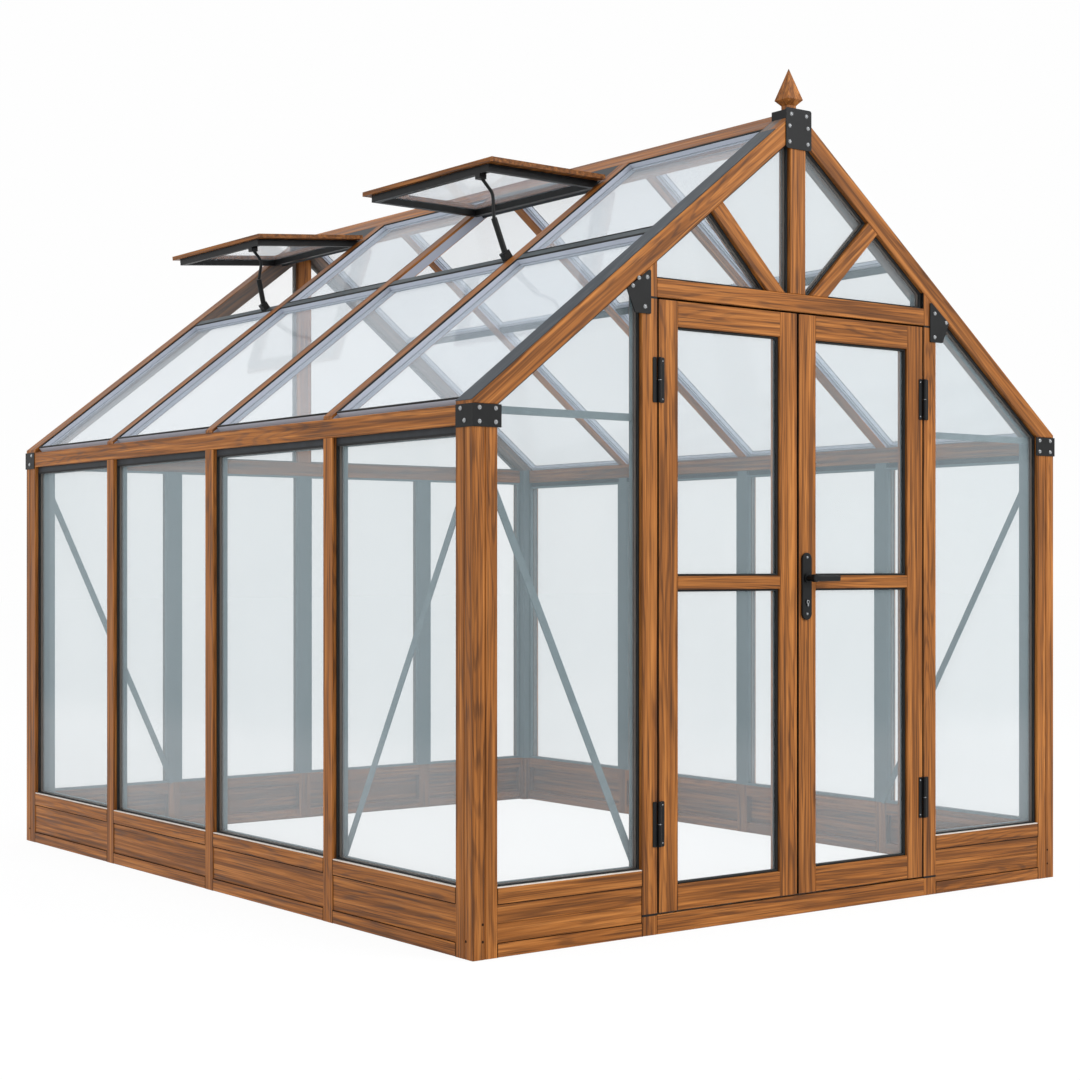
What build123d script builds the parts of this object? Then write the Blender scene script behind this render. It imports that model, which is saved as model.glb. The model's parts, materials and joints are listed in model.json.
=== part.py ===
from build123d import *
from math import atan2, cos, degrees, radians, sin, tan
import os

os.makedirs("parts", exist_ok=True)

# A garden greenhouse: a timber frame with gasketed glass, double doors in the front gable and two roof vents.
# Millimetres. The origin is on the ground, at the middle of the plan. The front gable faces -Y, the ridge
# runs along Y, and the two vents are on the slope over the -X wall.

# Overall sizes
width = 2600.0
length = 3210.0
eave_height = 1615.0
ridge_height = 2626.0

# Timber sections
corner_size = 88.0
rafter_depth = 62.0
rafter_thickness = 88.0
wall_depth = 55.0
post_width = 58.0
bar_width = 52.0
bar_depth = 41.0
cap_thickness = 9.0
eave_beam_height = 60.0
ridge_width = 50.0
ridge_board_end = 90.0
ridge_board_thickness = 34.0
king_width = 69.0
strut_width = 55.0
arris = 2.0
fine_arris = 1.2
same_point = 0.001
groove_width = 5.0
groove_depth = 3.5
bay_count = 4
eave_lip = 6.0
strut_foot = 97.0
strut_head = 352.0

# Base
base_height = 202.0
base_bottom_rail = 42.0
base_top_rail = 48.0
base_panel_setback = 3.0
base_panel_thickness = 24.0
base_board_gap = 1.0

# Doorway and leaves
door_half_opening = 603.0
jamb_width = 62.0
jamb_depth = 66.0
sill_height = 60.0
head_bottom = 1966.0
head_height = 58.0
leaf_gap = 6.0
meeting_gap = 8.0
leaf_thickness = 45.0
stile_width = 78.0
door_rail_height = 80.0
mid_rail_bottom = 1063.0
mid_rail_height = 42.0
stop_width = 16.0
stop_clearance = 5.0

# Glazing: depths are measured inwards from the outer face of the timber
glass_thickness = 4.0
gasket_front = 15.0
gasket_cover = 16.0
gasket_back = 4.0
gasket_width = 7.0
gasket_floor = 2.0
glass_edge_clearance = 0.5
roof_gasket_front = 2.0
roof_gasket_cover = 18.0
eave_strip_height = 20.0
eave_strip_thickness = 24.0
door_gasket_front = 10.0
door_gasket_cover = 8.0

# Roof cross bars and vents
purlin_place = 705.0
purlin_width = 30.0
purlin_thickness = 34.0
vent_hinge_place = 200.0
vent_side_clearance = 5.0
vent_end_clearance = 4.0
vent_seat_clearance = 0.5
vent_overlap = 35.0
vent_drip = 10.0
vent_reveal = 2.0
vent_frame_thickness = 16.0
vent_underframe_thickness = 26.0
vent_underframe_width = 22.0
vent_lifts = {1: 0.5, 3: -5.0}

# Hinges and openers of the vents
vent_knuckle = 8.0
vent_flap_width = 32.0
vent_flap_thickness = 2.0
vent_flap_length = 70.0
vent_hinge_shares = (0.15, 0.85)
opener_foot_insets = {1: 16.0, 3: 90.0}
opener_head_inset = 66.0
opener_block = 28.0
opener_foot_height = 26.0
opener_head_height = 18.0
opener_grip = 16.0
cylinder_radius = 10.5
cylinder_share = 0.47
arm_radius = 6.0
arm_bend_share = 0.8
arm_bend_in = 30.0
arm_bend_radius = 40.0

# Metalwork
plate_thickness = 4.0
bracket_thickness = 3.0
apex_plate_width = 114.0
apex_plate_height = 132.0
apex_plate_corner = 8.0
saddle_half_width = 35.0
saddle_top = 2.0
knee_overlap = 33.0
knee_height = 135.0
knee_foot_width = 63.0
knee_reach = 96.0
knee_flat = 8.0
knee_drop = 10.0
knee_corner = 4.0
wing_front = 100.0
wing_side = 84.0
wing_height = 67.0
brace_width = 25.0
brace_thickness = 4.0
flashing_thickness = 2.0
flashing_setback = 7.0
flashing_top = 120.0
brace_top = 1460.0
brace_lap = 20.0
tie_rail_height = 22.0
tie_rail_thickness = 18.0

# Hinges of the leaves
hinge_height = 140.0
hinge_centres = (340.0, 1710.0)
hinge_plate_width = 15.0
hinge_plate_thickness = 2.5
hinge_plate_corner = 3.0
hinge_plate_gap = 2.0
barrel_diameter = 12.0
barrel_stand_off = 0.5
barrel_end = 1.5
hinge_pin_diameter = 6.0
hinge_pin_shortfall = 12.0
hinge_bore_clearance = 0.3
knuckle_gap = 0.5

# Handle
handle_plate_width = 43.0
handle_plate_height = 220.0
handle_plate_thickness = 8.0
handle_plate_bottom = 960.0
handle_plate_edge = 2.0
handle_shift = 8.0
lever_height = 1097.0
lever_length = 110.0
lever_thickness = 20.0
lever_reach = 44.0
lever_rounding = 6.0
lever_end = 2.0
lever_gap = 0.5
rosette_diameter = 32.0
rosette_thickness = 5.0
neck_diameter = 20.0
hub_diameter = 26.0
hub_edge = 3.0
spindle_diameter = 10.0
spindle_clearance = 1.0
spindle_bore_overrun = 40.0
lock_height = 1019.0
lock_diameter = 17.0
lock_projection = 3.0

# Finial
finial_neck_size = 34.0
finial_neck_height = 18.0
finial_size = 66.0
finial_flare_height = 18.0
finial_point_height = 104.0
finial_tip_size = 1.0

# Derived places
half_width = width / 2
half_length = length / 2
pitch = atan2(ridge_height - eave_height, half_width)
rafter_drop = rafter_depth / cos(pitch)
bar_drop = bar_depth / cos(pitch)
cap_drop = cap_thickness / cos(pitch)
bay_pitch = length / bay_count
wall_inside = half_width - wall_depth
corner_inside = half_width - corner_size
gable_inside = half_length - wall_depth
jamb_outer = door_half_opening + jamb_width
front_face = -half_length


def roof_z(x, depth=0.0):
    """Height of the roof plane at x, lowered by a vertical depth."""
    return ridge_height - abs(x) * tan(pitch) - depth


def slope_xz(down, depth):
    """A point on the -X slope: down from the ridge, and square inwards from the roof plane."""
    x = -down * cos(pitch) + depth * sin(pitch)
    return x, ridge_height - down * sin(pitch) - depth * cos(pitch)


# The corner post ends where the rafter's underside meets its inner face, or a lip below the eave
post_top = min(roof_z(corner_inside, rafter_drop), eave_height - eave_lip)
eave_beam_bottom = post_top - eave_beam_height
head_top = head_bottom + head_height


# Making and saving


def save(name, solids):
    """Write the separate solids of one node."""
    pieces = [piece for item in solids for piece in item.solids()]
    export_step(Compound(children=pieces), f"parts/{name}.step")
    print(name, len(pieces))


def block(x, y, z):
    """A box between two values on each axis, in any order."""
    size = [abs(b - a) for a, b in (x, y, z)]
    middle = [(a + b) / 2 for a, b in (x, y, z)]
    return Pos(*middle) * Box(*size)


def eased(solid, axis, size=arris):
    """Take off the long arrises of a timber that runs along an axis."""
    return chamfer(solid.edges().filter_by(axis), size)


def timber(x, y, z, axis, size=arris):
    """A rectangular timber with eased arrises."""
    return eased(block(x, y, z), axis, size)


def distinct(points):
    """An outline without the points that repeat the one before."""
    following = points[1:] + points[:1]
    return [p for p, q in zip(points, following) if abs(p[0] - q[0]) + abs(p[1] - q[1]) > same_point]


def across_y(points, y):
    """A flat outline in x and z, carried from one y to another."""
    near, far = sorted(y)
    face = Plane.XZ.offset(-far) * Polygon(*distinct(points), align=None)
    return extrude(face, far - near, dir=(0, -1, 0))


def eased_faces(solid, axis, size=arris):
    """Take off the arrises of the two faces that look along an axis."""
    faces = solid.faces().sort_by(axis)
    return chamfer(faces[0].edges() + faces[-1].edges(), size)


def mirrored_x(solids):
    """The same pieces on the other side of the ridge line."""
    return [mirror(piece, Plane.YZ) for piece in solids]


def mirrored_y(solids):
    """The same pieces at the other gable."""
    return [mirror(piece, Plane.XZ) for piece in solids]


def pane(plane, corners, front, cover):
    """Glass in a U-section gasket that lines an opening.

    The plane lies on the outer face of the timber and looks outwards. The gasket starts at the depth front,
    covers the glass by the depth cover, and wraps its edge.
    """
    opening = Polygon(*distinct(corners), align=None)
    sight = offset(opening, -gasket_width, kind=Kind.INTERSECTION)
    slot = offset(opening, -gasket_floor, kind=Kind.INTERSECTION)
    sheet = offset(opening, -(gasket_floor + glass_edge_clearance), kind=Kind.INTERSECTION)
    glass_front = front + cover
    total = cover + glass_thickness + gasket_back
    ring = extrude(plane.offset(-front) * (opening - sight), -total)
    ring -= extrude(plane.offset(-glass_front) * slot, -glass_thickness)
    glass = extrude(plane.offset(-glass_front) * sheet, -glass_thickness)
    return ring, glass


# Bays along the side walls: the clear space between neighbouring posts, from the front to the back


def bay_edges(index, member_width, end_width):
    """Clear space of one bay between members, in y."""
    low = front_face + index * bay_pitch + (end_width if index == 0 else member_width / 2)
    high = front_face + (index + 1) * bay_pitch - (end_width if index == bay_count - 1 else member_width / 2)
    return low, high


post_places = [front_face + k * bay_pitch for k in range(1, bay_count)]
wall_bays = [bay_edges(k, post_width, corner_size) for k in range(bay_count)]
roof_bays = [bay_edges(k, bar_width, rafter_thickness) for k in range(bay_count)]
stud_places = [-half_width + width * k / 4 for k in (1, 2, 3)]


# Base: corner blocks and stiles, with rails and panels between them


def grooved_post(x, y, z):
    """A square post with a fine V-groove down the middle of each face."""
    section = chamfer(Rectangle(corner_size, corner_size).vertices(), arris)
    groove = Polygon((-groove_width / 2, 0), (groove_width / 2, 0), (0, -groove_depth), align=None)
    for turn in (0, 90, 180, 270):
        section -= Rot(0, 0, turn) * Pos(0, corner_size / 2) * groove
    return Pos(x, y, z[0]) * extrude(section, z[1] - z[0])


corner_x = half_width - corner_size / 2
corner_y = half_length - corner_size / 2
corners = [(sx * corner_x, sy * corner_y) for sx in (-1, 1) for sy in (-1, 1)]

stiles = [grooved_post(x, y, (0, base_height)) for x, y in corners]
for y in post_places:
    for side in (-1, 1):
        x = (side * half_width, side * wall_inside)
        stiles.append(timber(x, (y - post_width / 2, y + post_width / 2), (0, base_height), Axis.Z))
for x in stud_places:
    y = (half_length, gable_inside)
    stiles.append(timber((x - post_width / 2, x + post_width / 2), y, (0, base_height), Axis.Z))
save("base_stiles", stiles)

rail_levels = ((0, base_bottom_rail), (base_height - base_top_rail, base_height))
panel_levels = (base_bottom_rail, base_height - base_top_rail)
panel_front = base_panel_setback
panel_back = base_panel_setback + base_panel_thickness

side_rails = []
side_panels = []
for low, high in wall_bays:
    for level in rail_levels:
        side_rails.append(timber((-half_width, -wall_inside), (low, high), level, Axis.Y))
    panel_x = (-half_width + panel_front, -half_width + panel_back)
    side_panels.append(timber(panel_x, (low, high), panel_levels, Axis.Y, fine_arris))
save("base_side_rails", side_rails + mirrored_x(side_rails))
save("base_side_panels", side_panels + mirrored_x(side_panels))

front_bay = (-corner_inside, -jamb_outer)
board_middle = sum(panel_levels) / 2
front_boards = (
    (panel_levels[0], board_middle - base_board_gap / 2),
    (board_middle + base_board_gap / 2, panel_levels[1]),
)
end_rails = []
end_panels = []
for level in rail_levels:
    end_rails.append(timber(front_bay, (front_face, -gable_inside), level, Axis.X))
for level in front_boards:
    panel_y = (front_face + panel_front, front_face + panel_back)
    end_panels.append(timber(front_bay, panel_y, level, Axis.X, fine_arris))
end_rails += mirrored_x(end_rails)
end_panels += mirrored_x(end_panels)

stud_edges = [-corner_inside]
for x in stud_places:
    stud_edges += [x - post_width / 2, x + post_width / 2]
stud_edges.append(corner_inside)
back_bays = list(zip(stud_edges[0::2], stud_edges[1::2]))
for bay in back_bays:
    for level in rail_levels:
        end_rails.append(timber(bay, (gable_inside, half_length), level, Axis.X))
    panel_y = (half_length - panel_back, half_length - panel_front)
    end_panels.append(timber(bay, panel_y, panel_levels, Axis.X, fine_arris))
save("base_end_rails", end_rails)
save("base_end_panels", end_panels)

# Posts and eave beams
corner_posts = [grooved_post(x, y, (base_height, post_top)) for x, y in corners]
front_corner = corner_posts[0]
back_corner = corner_posts[1]
save("corner_posts", corner_posts)

wall_posts = []
post_z = (base_height, eave_beam_bottom)
for y in post_places:
    span = (y - post_width / 2, y + post_width / 2)
    wall_posts.append(timber((-half_width, -wall_inside), span, post_z, Axis.Z))
wall_posts += mirrored_x(wall_posts)
for x in stud_places:
    span = (x - post_width / 2, x + post_width / 2)
    wall_posts.append(timber(span, (gable_inside, half_length), post_z, Axis.Z))
save("wall_posts", wall_posts)

eave_y = (front_face + corner_size, half_length - corner_size)
eave_beam = timber((-half_width, -wall_inside), eave_y, (eave_beam_bottom, post_top), Axis.Y)
save("eave_beams", [eave_beam, mirror(eave_beam, Plane.YZ)])
back_y = (gable_inside, half_length)
back_tie = timber((-corner_inside, corner_inside), back_y, (eave_beam_bottom, post_top), Axis.X)
save("back_tie_beam", [back_tie])

# Gable rafters, plumb cut where they meet under the saddle and seated on the corner posts
rafter_outline = [
    (-half_width, eave_height),
    (-half_width, post_top),
    (-corner_inside, post_top),
    (-corner_inside, roof_z(corner_inside, rafter_drop)),
    (0, roof_z(0, rafter_drop)),
    (0, ridge_height),
]
front_rafter = across_y(rafter_outline, (front_face, front_face + rafter_thickness))
rafters = [eased_faces(front_rafter, Axis.Y)]
rafters += mirrored_y(rafters)
save("gable_rafters", rafters + mirrored_x(rafters))

# Doorway: jambs cut to the rafters, sill, head beam and stops
jamb_outline = [
    (-jamb_outer, 0),
    (-door_half_opening, 0),
    (-door_half_opening, roof_z(door_half_opening, rafter_drop)),
    (-jamb_outer, roof_z(jamb_outer, rafter_drop)),
]
door_y = (front_face, front_face + jamb_depth)
jamb = eased_faces(across_y(jamb_outline, door_y), Axis.Y)
save("door_jambs", [jamb, mirror(jamb, Plane.YZ)])
door_span = (-door_half_opening, door_half_opening)
save("door_sill", [timber(door_span, door_y, (0, sill_height), Axis.X)])
save("head_beam", [timber(door_span, door_y, (head_bottom, head_top), Axis.X)])

stop_y = (front_face + leaf_thickness + stop_clearance, front_face + jamb_depth)
stop_x = (-door_half_opening, -door_half_opening + stop_width)
side_stop = timber(stop_x, stop_y, (sill_height, head_bottom), Axis.Z, fine_arris)
head_stop_x = (-door_half_opening + stop_width, door_half_opening - stop_width)
head_stop = timber(head_stop_x, stop_y, (head_bottom - stop_width, head_bottom), Axis.X, fine_arris)
save("door_stops", [side_stop, mirror(side_stop, Plane.YZ), head_stop])

# King posts and struts, set between the rafters
king_half = king_width / 2
king_outline = [
    (-king_half, head_top),
    (king_half, head_top),
    (king_half, roof_z(king_half, rafter_drop)),
    (0, roof_z(0, rafter_drop)),
    (-king_half, roof_z(king_half, rafter_drop)),
]
front_king = eased_faces(across_y(king_outline, (front_face, -gable_inside)), Axis.Y)
back_outline = [(x, post_top if z == head_top else z) for x, z in king_outline]
back_king = eased_faces(across_y(back_outline, (gable_inside, half_length)), Axis.Y)
save("king_posts", [front_king, back_king])

strut_rise = roof_z(strut_head, rafter_drop) - head_top
strut_slope = strut_rise / (strut_head - strut_foot)
strut_run = strut_width / sin(atan2(strut_slope, 1.0))


def strut_z(x, shift):
    """Height of one edge of the strut on the -X side, shifted along the head beam."""
    return head_top + (-x - strut_foot + shift) * strut_slope


def under_rafter(shift):
    """Where an edge of the strut meets the underside of the rafter."""
    reach = ridge_height - rafter_drop - head_top + (strut_foot - shift) * strut_slope
    x = -reach / (strut_slope + tan(pitch))
    return x, strut_z(x, shift)


inner_foot = (-strut_foot + strut_run / 2, head_top)
outer_foot = (-strut_foot - strut_run / 2, head_top)
inner_head = under_rafter(strut_run / 2)
outer_head = under_rafter(-strut_run / 2)
strut = across_y([inner_foot, inner_head, outer_head, outer_foot], (front_face, -gable_inside))
strut = eased_faces(strut, Axis.Y)
save("gable_struts", [strut, mirror(strut, Plane.YZ)])

# Roof: plane of the -X slope, with its x down the slope from the ridge and its z outwards
slope_plane = Plane(
    origin=(0, 0, ridge_height),
    x_dir=(-cos(pitch), 0, -sin(pitch)),
    z_dir=(-sin(pitch), 0, cos(pitch)),
)


def on_slope(down, y, depth):
    """A box on the -X slope: down the slope, along the ridge and inwards from the roof plane."""
    return slope_plane * block(down, (-y[0], -y[1]), (-depth[0], -depth[1]))


ridge_half = ridge_width / 2
ridge_y = (-half_length + rafter_thickness, half_length - rafter_thickness)
ridge_outline = [
    (0, ridge_height),
    (-ridge_half, roof_z(ridge_half)),
    (-ridge_half, roof_z(ridge_half, rafter_drop)),
    (ridge_half, roof_z(ridge_half, rafter_drop)),
    (ridge_half, roof_z(ridge_half)),
]
save("ridge_beam", [across_y(ridge_outline, ridge_y)])
board_drop = ridge_board_thickness / cos(pitch)
board_outline = [
    (-ridge_half, roof_z(ridge_half)),
    slope_xz(ridge_board_end, 0),
    slope_xz(ridge_board_end, ridge_board_thickness),
    (-ridge_half, roof_z(ridge_half, board_drop)),
]
ridge_board = eased(across_y(board_outline, ridge_y), Axis.Y, fine_arris)
save("ridge_boards", [ridge_board, mirror(ridge_board, Plane.YZ)])

# Glazing bars run under the ridge boards to the ridge beam, and stand on the eave beam
bar_foot = min(half_width, (ridge_height - cap_drop - post_top) / tan(pitch))
bar_foot_z = max(post_top, roof_z(half_width, cap_drop))
bar_heel = (ridge_height - bar_drop - post_top) / tan(pitch)
bar_outline = [
    slope_xz(ridge_board_end, cap_thickness),
    (-bar_foot, bar_foot_z),
    (-bar_foot, post_top),
    (-bar_heel, post_top),
    (-ridge_half, roof_z(ridge_half, bar_drop)),
    (-ridge_half, roof_z(ridge_half, board_drop)),
    slope_xz(ridge_board_end, ridge_board_thickness),
]
cap_outline = [
    slope_xz(ridge_board_end, 0),
    (-half_width, eave_height),
    (-half_width, bar_foot_z),
    (-bar_foot, bar_foot_z),
    slope_xz(ridge_board_end, cap_thickness),
]
bars = []
caps = []
for y in post_places:
    span = (y - bar_width / 2, y + bar_width / 2)
    bars.append(across_y(bar_outline, span))
    cap = across_y(cap_outline, span)
    caps.append(chamfer(cap.faces().sort_by(Axis.Z)[-1].edges(), arris))
save("roof_bars", bars + mirrored_x(bars))
save("roof_bar_caps", caps + mirrored_x(caps))

# Purlins divide each roof bay into an upper and a lower light
purlin_span = (purlin_place - purlin_width / 2, purlin_place + purlin_width / 2)
purlin_depth = (roof_gasket_front, roof_gasket_front + purlin_thickness)
purlins = [on_slope(purlin_span, bay, purlin_depth) for bay in roof_bays]
save("purlins", purlins + mirrored_x(purlins))

# Glass in the walls
left_wall = Plane(origin=(-half_width, 0, 0), x_dir=(0, -1, 0), z_dir=(-1, 0, 0))
front_wall = Plane(origin=(0, front_face, 0), x_dir=(1, 0, 0), z_dir=(0, -1, 0))
side_head = eave_beam_bottom - eave_strip_height


def rectangle(u, v):
    """Corners of a rectangle between two values on each axis."""
    return [(u[0], v[0]), (u[1], v[0]), (u[1], v[1]), (u[0], v[1])]


side_rings = []
side_sheets = []
strips = []
for low, high in wall_bays:
    light = rectangle((-high, -low), (base_height, side_head))
    ring, sheet = pane(left_wall, light, gasket_front, gasket_cover)
    side_rings.append(ring)
    side_sheets.append(sheet)
    strip_x = (-half_width + gasket_front, -half_width + gasket_front + eave_strip_thickness)
    strips.append(block(strip_x, (low, high), (side_head, eave_beam_bottom)))
save("side_glass", side_sheets + mirrored_x(side_sheets))
save("eave_strips", strips + mirrored_x(strips))

# Glass in the front gable: a tall light beside each jamb and two triangles each side of the king post
tall_light = [
    (-corner_inside, base_height),
    (-jamb_outer, base_height),
    (-jamb_outer, roof_z(jamb_outer, rafter_drop)),
    (-corner_inside, roof_z(corner_inside, rafter_drop)),
]
outer_light = [
    (-door_half_opening, head_top),
    outer_foot,
    outer_head,
    (-door_half_opening, roof_z(door_half_opening, rafter_drop)),
]
king_meets_strut = (-king_half, strut_z(-king_half, strut_run / 2))
inner_light = [
    (-king_half, max(head_top, king_meets_strut[1])),
    (-king_half, roof_z(king_half, rafter_drop)),
    inner_head,
]
if inner_foot[0] < -king_half:
    inner_light = [(-king_half, head_top), *inner_light[1:], inner_foot]
front_lights = [tall_light, outer_light, inner_light]

# Glass in the back gable: four lights under the tie beam and two above it
back_wall = Plane(origin=(0, half_length, 0), x_dir=(-1, 0, 0), z_dir=(0, 1, 0))
back_lights = [rectangle((-high, -low), (base_height, eave_beam_bottom)) for low, high in back_bays]
upper_light = [
    (king_half, post_top),
    (corner_inside, post_top),
    (corner_inside, roof_z(corner_inside, rafter_drop)),
    (king_half, roof_z(king_half, rafter_drop)),
]
gable_rings = []
gable_sheets = []
for corners_list in front_lights:
    ring, sheet = pane(front_wall, corners_list, gasket_front, gasket_cover)
    gable_rings += [ring, mirror(ring, Plane.YZ)]
    gable_sheets += [sheet, mirror(sheet, Plane.YZ)]
for corners_list in back_lights:
    ring, sheet = pane(back_wall, corners_list, gasket_front, gasket_cover)
    gable_rings.append(ring)
    gable_sheets.append(sheet)
ring, sheet = pane(back_wall, upper_light, gasket_front, gasket_cover)
gable_rings += [ring, mirror(ring, Plane.YZ)]
gable_sheets += [sheet, mirror(sheet, Plane.YZ)]
save("gable_glass", gable_sheets)
save("wall_gaskets", side_rings + mirrored_x(side_rings) + gable_rings)

# Front tie rails, across the tall lights at eave level, behind the glass
lining_back = front_face + gasket_front + gasket_cover + glass_thickness + gasket_back
rail_y = (lining_back, lining_back + tie_rail_thickness)
tie_rail = block(front_bay, rail_y, (post_top - tie_rail_height, post_top))
save("front_tie_rails", [tie_rail, mirror(tie_rail, Plane.YZ)])

# Glass in the roof. The lower edge of each gasket rests on the eave beam.
gasket_total = roof_gasket_cover + glass_thickness + gasket_back
roof_end = (ridge_height - post_top - (roof_gasket_front + gasket_total) * cos(pitch)) / sin(pitch)


def roof_lights(bays, spans):
    """Gaskets and glass for every bay and span of the -X slope."""
    rings, sheets = [], []
    for low, high in bays:
        for span in spans:
            outline = rectangle(span, (-high, -low))
            ring, sheet = pane(slope_plane, outline, roof_gasket_front, roof_gasket_cover)
            rings.append(ring)
            sheets.append(sheet)
    return rings, sheets


lower_span = (purlin_span[1], roof_end)
upper_span = (ridge_board_end, purlin_span[0])
plain_bays = [bay for k, bay in enumerate(roof_bays) if k not in vent_lifts]
vent_openings = [roof_bays[k] for k in vent_lifts]
right_rings, right_sheets = roof_lights(roof_bays, (lower_span, upper_span))
left_rings, left_sheets = roof_lights(plain_bays, (lower_span, upper_span))
vent_rings, vent_sheets = roof_lights(vent_openings, (lower_span,))
save("roof_glass", left_sheets + vent_sheets + mirrored_x(right_sheets))
save("roof_gaskets", left_rings + vent_rings + mirrored_x(right_rings))

# Vents: a trimmer under the ridge board carries the hinges. Each leaf is a timber frame that laps over the
# bars, on a deeper frame that drops between them and holds the glass.
axis_x = -vent_hinge_place * cos(pitch) - sin(pitch) * vent_knuckle / 2
axis_z = ridge_height - vent_hinge_place * sin(pitch) + cos(pitch) * vent_knuckle / 2
hinge_axis = (axis_x, 0, axis_z)
leaf_bottom = vent_seat_clearance - vent_knuckle / 2
leaf_top = leaf_bottom + vent_frame_thickness
leaf_start = vent_knuckle / 2 + vent_flap_thickness
leaf_end = purlin_span[0] - vent_hinge_place + vent_drip
under_start = leaf_start + vent_end_clearance
under_end = leaf_end - vent_drip - vent_side_clearance
under_bottom = leaf_bottom - vent_underframe_thickness


def leaf_frame(lift):
    """Plane of a vent leaf: its x runs out from the hinge, and its z up from the hinge axis."""
    return Plane(origin=hinge_axis, x_dir=(-cos(lift), 0, sin(lift)), z_dir=(sin(lift), 0, cos(lift)))


def on_leaf(plane, out, y, rise):
    """A box on a vent leaf: out from the hinge, along the ridge and up from the hinge axis."""
    return plane * block(out, (-y[0], -y[1]), rise)


def inset(span, distance):
    """A span drawn in at both ends."""
    return span[0] + distance, span[1] - distance


def rod(start, end, radius):
    """A round bar between two points."""
    run = Vector(*end) - Vector(*start)
    return Solid.make_cylinder(radius, run.length, Plane(origin=start, z_dir=run))


def vent_hinge(plane, y):
    """A butt hinge: one flap on the trimmer and one on the end of the leaf."""
    span = (y - vent_flap_length / 2, y + vent_flap_length / 2)
    knuckle = plane * Rot(90, 0, 0) * Cylinder(vent_knuckle / 2, vent_flap_length)
    fixed = on_slope((vent_hinge_place - vent_flap_width, vent_hinge_place), span, (-vent_flap_thickness, 0))
    web = on_leaf(plane, (0, leaf_start), span, (-vent_flap_thickness / 2, vent_flap_thickness / 2))
    moving = on_leaf(plane, (leaf_start - vent_flap_thickness, leaf_start), span, (leaf_bottom, leaf_top))
    return Pos(0, y, 0) * knuckle + fixed + web + moving


def vent_opener(plane, low, foot_inset):
    """A block on the purlin, a cylinder, and a bent arm to a block under the leaf."""
    half = opener_block / 2
    foot_y = low + foot_inset
    head_y = low + opener_head_inset
    head_out = under_end - vent_underframe_width / 2
    head_rise = (under_bottom - opener_head_height, under_bottom)
    at_head = plane * Pos(head_out, -head_y, sum(head_rise) / 2)
    head = tuple(at_head.position)
    foot_x, foot_z = slope_xz(purlin_place, roof_gasket_front - opener_grip)
    foot = (foot_x, foot_y, foot_z)
    sleeve_end = tuple(f + cylinder_share * (h - f) for f, h in zip(foot, head))
    elbow = tuple(f + arm_bend_share * (h - f) for f, h in zip(foot, head))
    elbow = (elbow[0] + arm_bend_in, elbow[1], elbow[2])
    path = FilletPolyline(sleeve_end, elbow, head, radius=arm_bend_radius)
    arm = sweep(Plane(origin=path @ 0, z_dir=path % 0) * Circle(arm_radius), path=path)
    foot_down = (purlin_place - half, purlin_place + half)
    foot_block = on_slope(foot_down, (foot_y - half, foot_y + half), (-opener_foot_height, roof_gasket_front))
    head_y_span = (head_y - half, head_y + half)
    head_block = on_leaf(plane, (head_out - half, head_out + half), head_y_span, head_rise)
    return rod(foot, sleeve_end, cylinder_radius) + arm + foot_block + head_block


trimmers = []
vent_frames = []
underframes = []
vent_sheets = []
vent_hinges = []
openers = []
for bay_index, lift_degrees in vent_lifts.items():
    low, high = roof_bays[bay_index]
    plane = leaf_frame(radians(lift_degrees))
    trimmer_span = (ridge_board_end, vent_hinge_place - vent_end_clearance / 2)
    trimmers.append(on_slope(trimmer_span, (low, high), (0, ridge_board_thickness)))

    under_out = (under_start, under_end)
    under_y = inset((low, high), vent_side_clearance)
    sight_out = inset(under_out, vent_underframe_width)
    sight_y = inset(under_y, vent_underframe_width)
    leaf = on_leaf(plane, (leaf_start, leaf_end), inset((low, high), -vent_overlap), (leaf_bottom, leaf_top))
    reveal = (inset(sight_out, vent_reveal), inset(sight_y, vent_reveal))
    leaf -= on_leaf(plane, *reveal, (leaf_bottom, leaf_top))
    vent_frames.append(leaf)
    underframe = on_leaf(plane, under_out, under_y, (under_bottom, leaf_bottom))
    underframe -= on_leaf(plane, sight_out, sight_y, (under_bottom, leaf_bottom))
    glass_rise = (leaf_bottom - glass_thickness, leaf_bottom)
    underframe -= on_leaf(plane, inset(sight_out, -gasket_width), inset(sight_y, -gasket_width), glass_rise)
    underframes.append(underframe)
    glass_lap = gasket_width - glass_edge_clearance
    vent_sheets.append(on_leaf(plane, inset(sight_out, -glass_lap), inset(sight_y, -glass_lap), glass_rise))
    for share in vent_hinge_shares:
        vent_hinges.append(vent_hinge(plane, low + share * (high - low)))
    openers.append(vent_opener(plane, low, opener_foot_insets[bay_index]))
save("vent_trimmers", trimmers)
save("vent_frames", vent_frames)
save("vent_underframes", underframes)
save("vent_glass", vent_sheets)
save("vent_hinges", vent_hinges)
save("vent_openers", openers)

# Brackets: apex plate with its saddle, knee plates over the jambs, and wraps round the eave corners
plate_top = ridge_height + saddle_top
apex_y = (front_face - plate_thickness, front_face)
apex_x = (-apex_plate_width / 2, apex_plate_width / 2)
apex_plate = block(apex_x, apex_y, (plate_top - apex_plate_height, plate_top))
apex_plate = fillet(apex_plate.edges().filter_by(Axis.Y), apex_plate_corner)
saddle_outline = [
    (-saddle_half_width, plate_top),
    (-saddle_half_width, roof_z(saddle_half_width)),
    (0, ridge_height),
    (saddle_half_width, roof_z(saddle_half_width)),
    (saddle_half_width, plate_top),
]
saddle = across_y(saddle_outline, (front_face, front_face + rafter_thickness))
apex_bracket = apex_plate + saddle
save("apex_brackets", [apex_bracket, mirror(apex_bracket, Plane.XZ)])

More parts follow.
